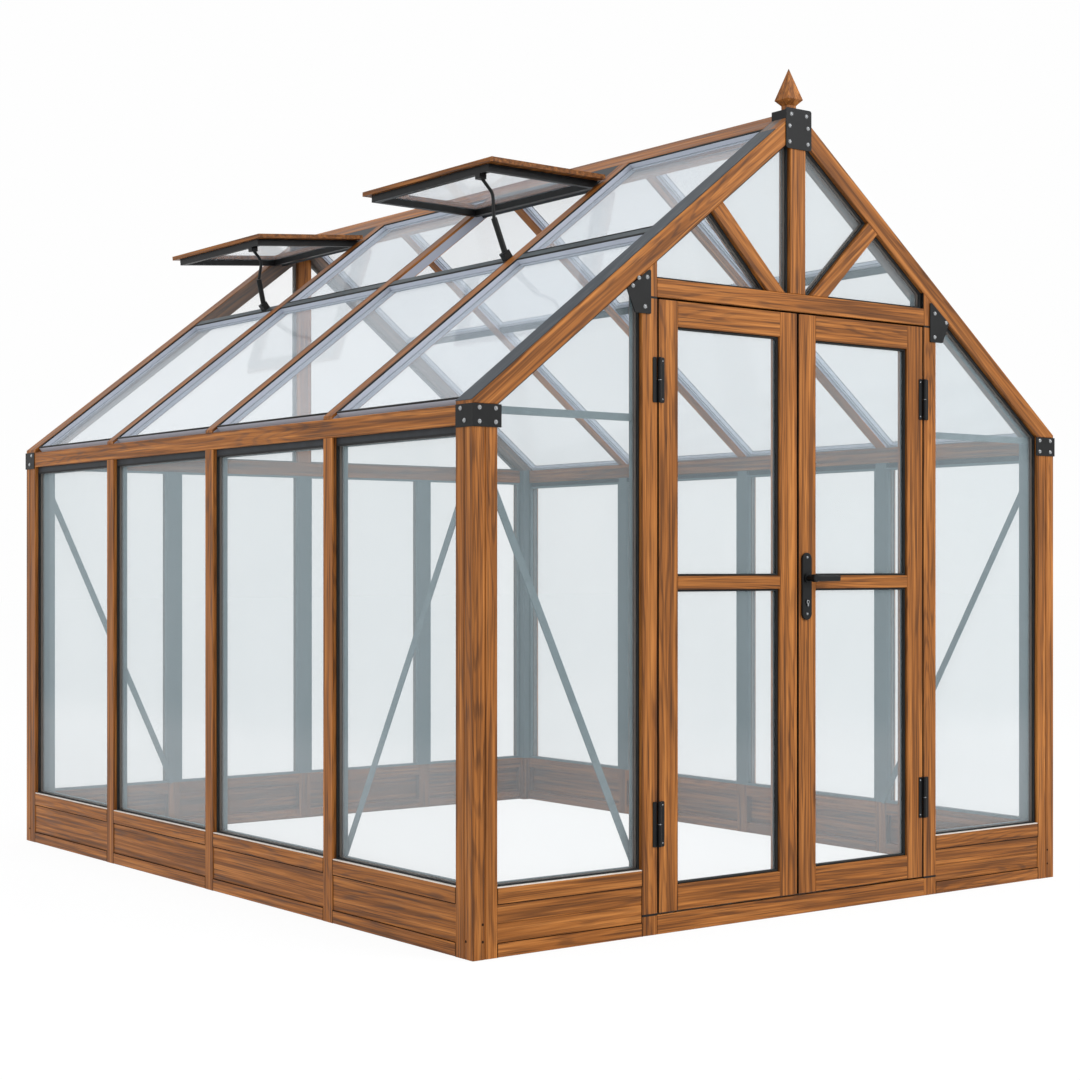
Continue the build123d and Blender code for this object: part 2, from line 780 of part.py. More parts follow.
knee_inner = jamb_outer - knee_overlap
knee_tip = knee_inner + knee_reach
knee_top = roof_z(knee_inner, rafter_drop) - knee_drop
knee_outline = [
    (-knee_inner, knee_top),
    (-knee_inner, knee_top - knee_height),
    (-knee_inner - knee_foot_width, knee_top - knee_height),
    (-knee_tip, roof_z(knee_tip, rafter_drop)),
    (-knee_inner - knee_flat, knee_top),
]
knee = across_y(knee_outline, (front_face - plate_thickness, front_face))
knee = fillet(knee.edges().filter_by(Axis.Y), knee_corner)
save("knee_brackets", [knee, mirror(knee, Plane.YZ)])

wing_z = (post_top - wing_height, post_top)
outer_x = -half_width - bracket_thickness
outer_y = front_face - bracket_thickness
wrap = block((outer_x, -half_width + wing_front), (outer_y, front_face), wing_z)
wrap += block((outer_x, -half_width), (outer_y, front_face + wing_side), wing_z)
wraps = [wrap, mirror(wrap, Plane.YZ)]
save("eave_brackets", wraps + mirrored_y(wraps))

# Flashings on the gable rafters
flashing_y = (front_face + flashing_setback, front_face + rafter_thickness)
flashing_span = (flashing_top, half_width / cos(pitch))
flashing = on_slope(flashing_span, flashing_y, (-flashing_thickness, 0))
flashings = [flashing, mirror(flashing, Plane.XZ)]
save("roof_flashings", flashings + mirrored_x(flashings))

# Finial on the saddle
finial_y = front_face + rafter_thickness / 2
neck_top = plate_top + finial_neck_height
flare_top = neck_top + finial_flare_height
tip = flare_top + finial_point_height


def square_at(z, size):
    """A square section of the finial."""
    return Plane(origin=(0, finial_y, z)) * Rectangle(size, size)


neck = extrude(square_at(plate_top, finial_neck_size), finial_neck_height)
flare = loft([square_at(neck_top, finial_neck_size), square_at(flare_top, finial_size)])
point = loft([square_at(flare_top, finial_size), square_at(tip, finial_tip_size)])
save("finial", [neck + flare + point])

# Wind braces: flat bars on the inner faces of the front bays and of one back bay


def flat_brace(plane, start, end):
    """A flat bar between two points on the inner face of a wall."""
    run = Vector(*end) - Vector(*start)
    middle = (Vector(*start) + Vector(*end)) / 2
    turn = degrees(atan2(run.Y, run.X))
    bar = extrude(Rectangle(run.length, brace_width), -brace_thickness)
    return plane.offset(-wall_depth) * Pos(middle.X, middle.Y) * Rot(0, 0, turn) * bar


side_start = (-wall_bays[0][0] + brace_lap, brace_top)
side_end = (-wall_bays[0][1] - brace_lap, base_height)
side_brace = flat_brace(left_wall, side_start, side_end) - front_corner
front_start = (-corner_inside - brace_lap, brace_top)
front_end = (-jamb_outer + brace_lap, base_height)
front_brace = flat_brace(front_wall, front_start, front_end) - front_corner - jamb
back_bay = back_bays[0]
back_start = (-back_bay[0] + brace_lap, brace_top)
back_brace = flat_brace(back_wall, back_start, (-back_bay[1] - brace_lap, base_height)) - back_corner
save("braces", [side_brace, mirror(side_brace, Plane.YZ), front_brace, back_brace])

# Hinges: lift-off pairs, with the pin on the frame knuckle and the bored knuckle on the leaf
pivot_x = door_half_opening - leaf_gap / 2
pivot_y = front_face - barrel_stand_off - barrel_diameter / 2
plate_y = (front_face - hinge_plate_thickness, front_face)
plate_near = barrel_diameter / 2 + hinge_plate_gap
plate_far = plate_near + hinge_plate_width
pin_length = hinge_height / 2 - hinge_pin_shortfall


def upright(diameter, bottom, top):
    """A round bar on the pivot of the -X leaf."""
    return Pos(-pivot_x, pivot_y, (bottom + top) / 2) * Cylinder(diameter / 2, top - bottom)


def barrel(bottom, top, end):
    """A knuckle with its outer end eased: the first edge is the lower end and the last the upper."""
    body = upright(barrel_diameter, bottom, top)
    return chamfer(body.edges().filter_by(GeomType.CIRCLE).sort_by(Axis.Z)[end], barrel_end)


def hinge_plate(side, centre):
    """A plate beside the pivot of the -X leaf, on the jamb for side -1 and on the leaf for side 1."""
    x = (-pivot_x + side * plate_near, -pivot_x + side * plate_far)
    plate = block(x, plate_y, (centre - hinge_height / 2, centre + hinge_height / 2))
    corners = plate.edges().filter_by(Axis.Y).sort_by(Axis.X)
    return chamfer(corners[:2] if side < 0 else corners[2:], hinge_plate_corner)


def frame_hinge(centre):
    """Plate on the jamb, lower knuckle and pin."""
    bottom = centre - hinge_height / 2
    split = centre - knuckle_gap / 2
    web = block((-pivot_x, -pivot_x - plate_near), plate_y, (bottom, split))
    pin = upright(hinge_pin_diameter, split, split + pin_length)
    return hinge_plate(-1, centre) + web + barrel(bottom, split, 0) + pin


def leaf_hinge(centre):
    """Plate on the leaf and upper knuckle, bored for the pin."""
    top = centre + hinge_height / 2
    split = centre + knuckle_gap / 2
    web = block((-pivot_x, -pivot_x + plate_near), plate_y, (split, top))
    bore = upright(hinge_pin_diameter + 2 * hinge_bore_clearance, split, split + pin_length + knuckle_gap)
    return hinge_plate(1, centre) + web + barrel(split, top, -1) - bore


frame_pair = [frame_hinge(z) for z in hinge_centres]
leaf_pair = [leaf_hinge(z) for z in hinge_centres]
save("frame_hinges", frame_pair + mirrored_x(frame_pair))
save("left_door_hinges", leaf_pair)
save("right_door_hinges", mirrored_x(leaf_pair))

# Leaves: two stiles, three rails and two lights each
leaf_z = (sill_height + leaf_gap, head_bottom - leaf_gap)
leaf_y = (front_face, front_face + leaf_thickness)
hinge_edge = -door_half_opening + leaf_gap
meeting_edge = -meeting_gap / 2
hinge_stile = timber((hinge_edge, hinge_edge + stile_width), leaf_y, leaf_z, Axis.Z)
meeting_stile = timber((meeting_edge - stile_width, meeting_edge), leaf_y, leaf_z, Axis.Z)
light_x = (hinge_edge + stile_width, meeting_edge - stile_width)
mid_z = (mid_rail_bottom, mid_rail_bottom + mid_rail_height)
rail_zs = [
    (leaf_z[0], leaf_z[0] + door_rail_height),
    mid_z,
    (leaf_z[1] - door_rail_height, leaf_z[1]),
]
leaf_rails = [timber(light_x, leaf_y, z, Axis.X) for z in rail_zs]
leaf_rings = []
leaf_sheets = []
for z in ((rail_zs[0][1], mid_z[0]), (mid_z[1], rail_zs[2][0])):
    ring, sheet = pane(front_wall, rectangle(light_x, z), door_gasket_front, door_gasket_cover)
    leaf_rings.append(ring)
    leaf_sheets.append(sheet)
save("left_door_stiles", [hinge_stile, meeting_stile])
save("left_door_rails", leaf_rails)
save("left_door_gaskets", leaf_rings)
save("left_door_glass", leaf_sheets)
save("right_door_rails", mirrored_x(leaf_rails))
save("right_door_gaskets", mirrored_x(leaf_rings))
save("right_door_glass", mirrored_x(leaf_sheets))

# Handle on the meeting stile of the +X leaf: plates each side and one lever through both
lever_x = meeting_gap / 2 + stile_width / 2 - handle_shift
leaf_middle = front_face + leaf_thickness / 2


def through(x, z, diameter, y):
    """A round bar or bore through the leaf."""
    return Pos(x, (y[0] + y[1]) / 2, z) * Rot(90, 0, 0) * Cylinder(diameter / 2, y[1] - y[0])


bore_y = (front_face - spindle_bore_overrun, front_face + leaf_thickness + spindle_bore_overrun)
spindle_bore = through(lever_x, lever_height, spindle_diameter + 2 * spindle_clearance, bore_y)
lever_stile = mirror(meeting_stile, Plane.YZ) - spindle_bore
save("right_door_stiles", [lever_stile, mirror(hinge_stile, Plane.YZ)])

plate_middle = handle_plate_bottom + handle_plate_height / 2


def handle_plate(y):
    """A round-ended plate on the leaf, with its edge eased and its lock cylinder."""
    outline = SlotOverall(handle_plate_height, handle_plate_width, rotation=90)
    plate = extrude(Plane.XZ.offset(-y[1]) * Pos(lever_x, plate_middle) * outline, y[1] - y[0])
    plate = chamfer(plate.faces().sort_by(Axis.Y)[0].edges(), handle_plate_edge)
    lock = through(lever_x, lock_height, lock_diameter, (y[0] - lock_projection, y[1]))
    return plate + lock - spindle_bore


outside_plate = handle_plate((front_face - handle_plate_thickness, front_face))
inside_plate = mirror(outside_plate, Plane.XZ.offset(-leaf_middle))
save("door_handle_plates", [outside_plate, inside_plate])

lever_face = front_face - handle_plate_thickness - lever_gap
grip_y = (lever_face - lever_reach, lever_face - lever_reach + lever_thickness)
rosette = through(lever_x, lever_height, rosette_diameter, (lever_face - rosette_thickness, lever_face))
neck = through(lever_x, lever_height, neck_diameter, (grip_y[0] + lever_thickness / 2, lever_face))
hub = through(lever_x, lever_height, hub_diameter, grip_y)
hub = chamfer(hub.edges().filter_by(GeomType.CIRCLE), hub_edge)
grip_z = (lever_height - lever_thickness / 2, lever_height + lever_thickness / 2)
grip = block((lever_x, lever_x + lever_length), grip_y, grip_z)
grip = fillet(grip.edges().filter_by(Axis.X), lever_rounding)
grip = chamfer(grip.faces().sort_by(Axis.X)[-1].edges(), lever_end)
outside_lever = rosette + neck + hub + grip
inside_lever = mirror(outside_lever, Plane.XZ.offset(-leaf_middle))
reach = leaf_middle - lever_face
spindle = through(lever_x, lever_height, spindle_diameter, (leaf_middle - reach, leaf_middle + reach))
save("door_lever", [outside_lever + inside_lever + spindle])
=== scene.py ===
# %% [markdown]
# A garden greenhouse in stained timber, glass and black fittings.
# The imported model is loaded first, as a fixed frame. It could be drawn again here, but then the looks and
# the construction would drift apart. So every finish and every small piece is fitted to the frame, and the
# places of panes, plates and posts are read from its own boxes and faces.

# %% Load the frame
import json
import math

import bpy
import numpy as np
from mathutils.geometry import convex_hull_2d
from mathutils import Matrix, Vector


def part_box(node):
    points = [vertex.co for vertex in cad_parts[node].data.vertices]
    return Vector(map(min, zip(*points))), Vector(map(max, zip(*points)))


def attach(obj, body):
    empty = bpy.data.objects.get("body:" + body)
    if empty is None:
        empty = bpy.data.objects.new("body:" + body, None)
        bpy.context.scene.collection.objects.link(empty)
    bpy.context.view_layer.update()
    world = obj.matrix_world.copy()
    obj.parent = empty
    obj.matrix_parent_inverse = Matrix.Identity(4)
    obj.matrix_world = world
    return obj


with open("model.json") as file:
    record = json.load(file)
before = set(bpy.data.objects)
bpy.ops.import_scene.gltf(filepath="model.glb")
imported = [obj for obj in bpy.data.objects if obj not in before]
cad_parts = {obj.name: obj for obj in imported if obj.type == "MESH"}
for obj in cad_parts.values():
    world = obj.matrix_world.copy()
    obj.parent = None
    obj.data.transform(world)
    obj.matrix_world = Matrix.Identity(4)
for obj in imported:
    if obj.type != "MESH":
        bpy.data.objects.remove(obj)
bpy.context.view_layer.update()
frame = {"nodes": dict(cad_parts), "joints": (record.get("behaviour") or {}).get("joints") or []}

MM = 0.001

# %% [markdown]
# The camera stands nearly six metres from the near corner, at chest height, and looks level, so that the
# posts stay upright in the picture. Tilting it would centre the building, but the posts would lean. A level
# camera with a small vertical shift of the lens centres it and keeps them straight.

# %% Camera
PICTURE = 1080                      # pixels on each side of the square picture
FOCAL_PIXELS = 1995.8               # focal length in pixels of that picture
HORIZON_PIXEL = 567.4               # row of the horizon, from the top
EYE = (-4.61, -6.288, 1.132)
YAW = math.radians(37.18)
SENSOR = 36.0                       # millimetres

camera_data = bpy.data.cameras.new("camera")
camera_data.sensor_width = SENSOR
camera_data.lens = FOCAL_PIXELS / PICTURE * SENSOR
camera_data.shift_y = (HORIZON_PIXEL - PICTURE / 2) / PICTURE
camera = bpy.data.objects.new("camera", camera_data)
camera.location = EYE
camera.rotation_euler = (math.pi / 2, 0.0, -YAW)
bpy.context.collection.objects.link(camera)
bpy.context.scene.camera = camera
print("lens", round(camera_data.lens, 2), "shift", round(camera_data.shift_y, 4))

# %% [markdown]
# Colours are written as they look on a screen, and one function turns them to the linear values that the
# shaders work in. One more function adds a node, with its settings and its links in one call, so that each
# material below reads as a list of what the surface is made of.

# %% Colour and node helpers


def linear(code):
    """sRGB hex to linear RGBA: each channel goes through the sRGB curve."""
    channels = [int(code[i:i + 2], 16) / 255 for i in (1, 3, 5)]
    return tuple(c / 12.92 if c <= 0.04045 else ((c + 0.055) / 1.055) ** 2.4 for c in channels) + (1.0,)


def fill(node, inputs):
    """Fill inputs of a node. Each is a value, or the output of another node to link."""
    for name, value in inputs.items():
        if isinstance(value, bpy.types.NodeSocket):
            node.id_data.links.new(value, node.inputs[name])
        else:
            node.inputs[name].default_value = value
    return node


def add(tree, kind, inputs=None, stops=(), **settings):
    """Add a node with its settings and inputs. A colour ramp has its stops as pairs (place, sRGB hex)."""
    made = tree.nodes.new(kind)
    for name, value in settings.items():
        setattr(made, name, value)
    for place, _ in stops[1:-1]:
        made.color_ramp.elements.new(place)
    for k, (place, code) in enumerate(stops):
        made.color_ramp.elements[k].position = place
        made.color_ramp.elements[k].color = linear(code)
    return fill(made, inputs or {})


def new_material(name):
    """A material with a bare Principled shader, and its tree."""
    material = bpy.data.materials.new(name)
    material.use_nodes = True
    tree = material.node_tree
    tree.nodes.clear()
    shader = add(tree, "ShaderNodeBsdfPrincipled")
    add(tree, "ShaderNodeOutputMaterial", {0: shader.outputs[0]})
    return material, tree, shader


def dress(material, *names):
    """Give CAD nodes a material in place of the plain one they came with."""
    for name in names:
        data = frame["nodes"][name].data
        data.materials.clear()
        data.materials.append(material)
    print(material.name, "on", *names)


print("white", linear("#ffffff"), "wood", [round(c, 3) for c in linear("#976137")])

# %% [markdown]
# The timber is a planed softwood with an orange-brown stain under a satin varnish. The stain goes deeper
# into the soft early wood than into the hard late wood, so that long thin lines run down each member, bent
# into arches where the saw crossed the growth layers. Smoky dark streaks lie over them. A picture of wood
# could not follow over a hundred members without repeating, so the layers are the contour lines of a smooth
# field that is stretched along the grain. A real growth layer is one to three millimetres thick, and here
# they are drawn coarser than that, because such fine lines would not show at this distance.

# %% Stain and growth layers
STAIN = {"deep": "#744419", "mid": "#9a5d26", "light": "#bc793a", "late": "#4c2a10", "smoke": "#40240f"}
STAIN_STOPS = ((0.34, STAIN["deep"]), (0.50, STAIN["mid"]), (0.68, STAIN["light"]))
# Each pattern: cycles in a metre across the grain and along it, detail, and roughness of the detail.
LAYER_FIELD = (10.0, 0.5, 1.5, 0.4)           # swells 100 mm wide and 2 m long
STREAK_FIELD = (78.0, 1.7, 3.0, 0.55)         # streaks 13 mm wide and 0.6 m long
SMOKE_FIELD = (190.0, 3.2, 2.0, 0.5)          # smoky lines 5 mm wide and 0.3 m long
FIBRE_FIELD = (420.0, 9.0, 2.0, 0.5)          # fibres 2.4 mm wide and 0.1 m long
LAYERS = 56.0                                 # half layers over the whole range of the layer field
LAYER_WAVER = 0.05                            # how far the streaks shake the layers
LATE_BUMP = 0.2 * MM
TIMBER_LEVEL = 0.22
print("a streak is", round(1000 / STREAK_FIELD[0], 1), "mm wide, a fibre", round(1000 / FIBRE_FIELD[0], 1))

# %% [markdown]
# Each member is cut from a board of its own. The boards could be told apart by one material for each, but a
# node holds up to sixteen members. Instead the space is cut into coarse cells, one member in each, and a
# random colour for each cell moves its member to another place in the layers and makes it a little paler or
# darker. The grain follows the length of the member, so the point is turned before the patterns read it.

# %% One board for each member
FAR = 9.0                                     # cell size where nothing divides the members
NO_SHIFT = (0.0, 0.0, 0.0)
MEMBER_OFFSET = (7.0, 5.0, 9.0)               # metres between boards in the layer field, at most
low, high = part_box("corner_posts")
WIDTH = high[0] - low[0]
LENGTH = high[1] - low[1]
BAY = LENGTH / 4
QUARTER = WIDTH / 4


def member_seed(tree, point, cells, shift):
    """A random colour for each member, the same all over one cell of a coarse grid.

    A direction in which nothing divides the members has the cell size FAR, and its cell is centred on nought.
    """
    centred = tuple(FAR / 2 if cell == FAR else move for cell, move in zip(cells, shift))
    moved = add(tree, "ShaderNodeVectorMath", {0: point, 1: centred}, operation="ADD").outputs[0]
    cell = add(tree, "ShaderNodeVectorMath", {0: moved, 1: cells}, operation="SNAP").outputs[0]
    return add(tree, "ShaderNodeTexWhiteNoise", {"Vector": cell}, noise_dimensions="3D").outputs["Color"]


def along_grain(tree, point, grain, angle):
    """Turn a point so that its last coordinate runs along the grain.

    For a member that slopes, the two sides of the roof are folded onto each other by the absolute value of x,
    and the point (|x|, z) is turned by the angle below the level.
    """
    x, y, z = add(tree, "ShaderNodeSeparateXYZ", {0: point}).outputs
    if grain == "slope":
        side = add(tree, "ShaderNodeMath", {0: x}, operation="ABSOLUTE").outputs[0]
        flat = add(tree, "ShaderNodeCombineXYZ", {0: side, 1: z}).outputs[0]
        turn = add(tree, "ShaderNodeVectorRotate", {"Vector": flat, "Angle": angle}, rotation_type="Z_AXIS")
        along, across, _ = add(tree, "ShaderNodeSeparateXYZ", {0: turn.outputs[0]}).outputs
        parts = (across, y, along)
    else:
        parts = {"X": (y, z, x), "Y": (x, z, y), "Z": (x, y, z)}[grain]
    return add(tree, "ShaderNodeCombineXYZ", dict(enumerate(parts))).outputs[0]


print("width", round(WIDTH, 3), "length", round(LENGTH, 3), "bay", round(BAY, 4))

# %% [markdown]
# The surface itself has three jobs. The colour ramp gives the stain from deep to light, the late wood lines
# and the smoke darken it, and the fibres and the board's own shade multiply it. Late wood is harder, so it
# shines a little more and stands a hair proud. One function returns all three, for every piece of timber.

# %% Surface of the timber


def timber_surface(tree, grain, cells, shift, angle, tone):
    """Colour, roughness and normal of the stained timber.

    The layer field, shaken a little by the streaks, is multiplied by the number of layers and put through a
    sine. The crests of the sine are the late wood.
    """
    point = add(tree, "ShaderNodeTexCoord").outputs["Object"]
    seed = member_seed(tree, point, cells, shift)
    offset = add(tree, "ShaderNodeVectorMath", {0: seed, 1: MEMBER_OFFSET}, operation="MULTIPLY").outputs[0]
    turned = along_grain(tree, point, grain, angle)
    place = add(tree, "ShaderNodeVectorMath", {0: turned, 1: offset}, operation="ADD").outputs[0]
    fields = []
    for across, along, detail, roughness in (STREAK_FIELD, SMOKE_FIELD, FIBRE_FIELD, LAYER_FIELD):
        stretch = {0: place, 1: (across, across, along)}
        stretched = add(tree, "ShaderNodeVectorMath", stretch, operation="MULTIPLY").outputs[0]
        pattern = {"Vector": stretched, "Scale": 1.0, "Detail": detail, "Roughness": roughness}
        fields.append(add(tree, "ShaderNodeTexNoise", pattern).outputs[0])
    streak, smoke, fibre, layers = fields

    waver = {0: streak, 1: LAYER_WAVER, 2: layers}
    waver = add(tree, "ShaderNodeMath", waver, operation="MULTIPLY_ADD").outputs[0]
    turns = add(tree, "ShaderNodeMath", {0: waver, 1: LAYERS * math.pi}, operation="MULTIPLY").outputs[0]
    wave = add(tree, "ShaderNodeMath", {0: turns}, operation="SINE").outputs[0]
    crest = {"Value": wave, 1: 0.1, 2: 1.0, 3: 0.0, 4: 1.0}
    late = add(tree, "ShaderNodeMapRange", crest, interpolation_type="SMOOTHSTEP").outputs[0]

    stain = add(tree, "ShaderNodeValToRGB", {"Fac": streak}, stops=STAIN_STOPS).outputs[0]
    faint = {"Value": streak, 1: 0.35, 2: 0.65, 3: 0.60, 4: 0.22}
    faint = add(tree, "ShaderNodeMapRange", faint, interpolation_type="SMOOTHSTEP").outputs[0]
    lines = add(tree, "ShaderNodeMath", {0: late, 1: faint}, operation="MULTIPLY").outputs[0]
    blended = {"Factor": lines, 6: stain, 7: linear(STAIN["late"])}
    blended = add(tree, "ShaderNodeMix", blended, data_type="RGBA").outputs[2]
    haze = {"Value": smoke, 1: 0.54, 2: 0.74, 3: 0.0, 4: 0.72}
    haze = add(tree, "ShaderNodeMapRange", haze, interpolation_type="SMOOTHSTEP").outputs[0]
    smoked = {"Factor": haze, 6: blended, 7: linear(STAIN["smoke"])}
    smoked = add(tree, "ShaderNodeMix", smoked, data_type="RGBA").outputs[2]

    board = add(tree, "ShaderNodeSeparateXYZ", {0: seed}).outputs[0]
    fleck = add(tree, "ShaderNodeMapRange", {"Value": fibre, 1: 0.3, 2: 0.7, 3: 0.84, 4: 1.16}).outputs[0]
    board_tone = {"Value": board, 3: 0.94 * tone, 4: 1.04 * tone}
    board_tone = add(tree, "ShaderNodeMapRange", board_tone).outputs[0]
    shade = add(tree, "ShaderNodeMath", {0: fleck, 1: board_tone}, operation="MULTIPLY").outputs[0]
    colour = add(tree, "ShaderNodeVectorMath", {0: smoked, "Scale": shade}, operation="SCALE").outputs[0]

    height = add(tree, "ShaderNodeMath", {0: late, 1: 0.5, 2: fibre}, operation="MULTIPLY_ADD").outputs[0]
    bump = add(tree, "ShaderNodeBump", {"Height": height, "Strength": 0.3, "Distance": LATE_BUMP}).outputs[0]
    satin = add(tree, "ShaderNodeMapRange", {"Value": late, 3: 0.50, 4: 0.40}).outputs[0]
    return {"Base Color": colour, "Roughness": satin, "Normal": bump}


print("timber pattern: layers, streaks, smoke and fibres")

# %% [markdown]
# Two more things colour the timber, and both are painted shade. Seen through the glass, the inner faces of
# the posts and rafters are painted grey, and those of the base and beams a dark brown, for the shade inside
# the building; there is no lining. The faces that look into the gaps round the doors are painted black, for
# the shade in the gaps, so that each gap is a clean dark line; there is no seal. Both could be thin extra
# pieces, but seals would fill the gaps that the doors need to turn in, and boards for a lining would thicken
# the posts. So both are masks on the timber, worked out from where a point lies in the building.

# %% Painted shade inside and in the door gaps
leaf_low, leaf_high = (np.array(v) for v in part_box("right_door_stiles"))
pins = {joint["child"]: joint["pos_m"] for joint in frame["joints"]}
HINGE_X = pins["right_door"][0]
DOOR_GAP = 6.0 * MM
MEETING_GAP = float(2 * leaf_low[0])
SILL_GAP_Z = float(leaf_low[2]) - DOOR_GAP / 2
HEAD_GAP_Z = float(leaf_high[2]) + DOOR_GAP / 2
GAP_SHADE_WRAP = 0.5 * MM                         # how far the painted black wraps onto the face of the leaf
# The black painted into the door gaps for their shade.
GAP_SHADE_BLACK = "#0c0a09"


def indoors(tree, share, depth):
    """The share for points deeper than that behind the outer faces of the walls, else nought."""
    point = add(tree, "ShaderNodeTexCoord").outputs["Object"]
    away = add(tree, "ShaderNodeVectorMath", {0: point}, operation="ABSOLUTE").outputs[0]
    x, y, z = add(tree, "ShaderNodeSeparateXYZ", {0: away}).outputs
    in_x = add(tree, "ShaderNodeMath", {0: x, 1: WIDTH / 2 - depth}, operation="LESS_THAN").outputs[0]
    in_y = add(tree, "ShaderNodeMath", {0: y, 1: LENGTH / 2 - depth}, operation="LESS_THAN").outputs[0]
    inside = add(tree, "ShaderNodeMath", {0: in_x, 1: in_y}, operation="MULTIPLY").outputs[0]
    return add(tree, "ShaderNodeMath", {0: inside, 1: share}, operation="MULTIPLY").outputs[0]


def door_gap_shade(tree):
    """One on the faces that look into the gaps round the leaves, where black shade is painted, else nought.

    The gaps are bands of |x| and z. A point is in a band when it is nearer to the middle of the gap than half
    its width and the wrap of the painted black.
    """
    point = add(tree, "ShaderNodeTexCoord").outputs["Object"]
    away = add(tree, "ShaderNodeVectorMath", {0: point}, operation="ABSOLUTE").outputs[0]
    x, y, z = add(tree, "ShaderNodeSeparateXYZ", {0: away}).outputs
    upright = ((x, HINGE_X, DOOR_GAP), (x, 0.0, MEETING_GAP))
    level = ((z, SILL_GAP_Z, DOOR_GAP), (z, HEAD_GAP_Z, DOOR_GAP))
    found = 0.0
    for value, middle, width in upright + level:
        band = {0: value, 1: middle, 2: width / 2 + GAP_SHADE_WRAP}
        band = add(tree, "ShaderNodeMath", band, operation="COMPARE").outputs[0]
        found = add(tree, "ShaderNodeMath", {0: band, 1: found}, operation="MAXIMUM").outputs[0]
    return found


def stained_timber(name, grain, cells, shift=NO_SHIFT, angle=0.0, tone=1.0, painted_shade=None, gap_shade=False):
    """Stained and varnished softwood, named for its members, with its grain along one direction, and painted
    shade on its inner faces and in the door gaps where asked.
    """
    material, tree, shader = new_material(name)
    surface = timber_surface(tree, grain, cells, shift, angle, tone)
    # Painted shade on the inner faces, in the colour that the table gives.
    if painted_shade:
        share, depth, code = painted_shade
        blended = {"Factor": indoors(tree, share, depth), 6: surface["Base Color"], 7: linear(code)}
        surface["Base Color"] = add(tree, "ShaderNodeMix", blended, data_type="RGBA").outputs[2]
    # Painted black shade on the faces in the door gaps.
    if gap_shade:
        edged = {"Factor": door_gap_shade(tree), 6: surface["Base Color"], 7: linear(GAP_SHADE_BLACK)}
        surface["Base Color"] = add(tree, "ShaderNodeMix", edged, data_type="RGBA").outputs[2]
    fill(shader, surface | {"Specular IOR Level": TIMBER_LEVEL})
    return material


print("door gaps at x", HINGE_X, "and z", round(SILL_GAP_Z, 4), round(HEAD_GAP_Z, 4))

# %% [markdown]
# Which way the grain runs is read from each node: posts stand, rails and beams lie, and rafters and the
# caps of the roof bars slope. The cells say how far apart the members of a node are, so that each gets its
# own board. A table of facts for each node keeps twenty-four materials down to one recipe.

# %% Grain of each member
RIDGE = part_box("ridge_beam")[1][2]
EAVE = 1.615                                  # height at which the plane of the roof meets the wall
PITCH = math.atan2(RIDGE - EAVE, WIDTH / 2)
STRUT_RISE = 0.267
STRUT_RUN = 0.32
STRUT = -math.atan2(STRUT_RISE, STRUT_RUN)    # the struts lean the other way from the rafters
RAIL_STEP = 0.12                              # one base rail above the other
BOARD_STEP = 0.098                            # one base board above the other
DOOR_STEP = 0.5                               # one door rail above the other
BAY_SHIFT = (QUARTER / 2, BAY / 2, 0.0)
CAP_SHIFT = (0.0, BAY / 2, 0.0)
POST_CELLS = (QUARTER, BAY, FAR)
STILE_CELLS = (0.3, FAR, FAR)
ONE_BOARD = (FAR, FAR, FAR)
LEFT_AND_RIGHT = (2.0, FAR, FAR)
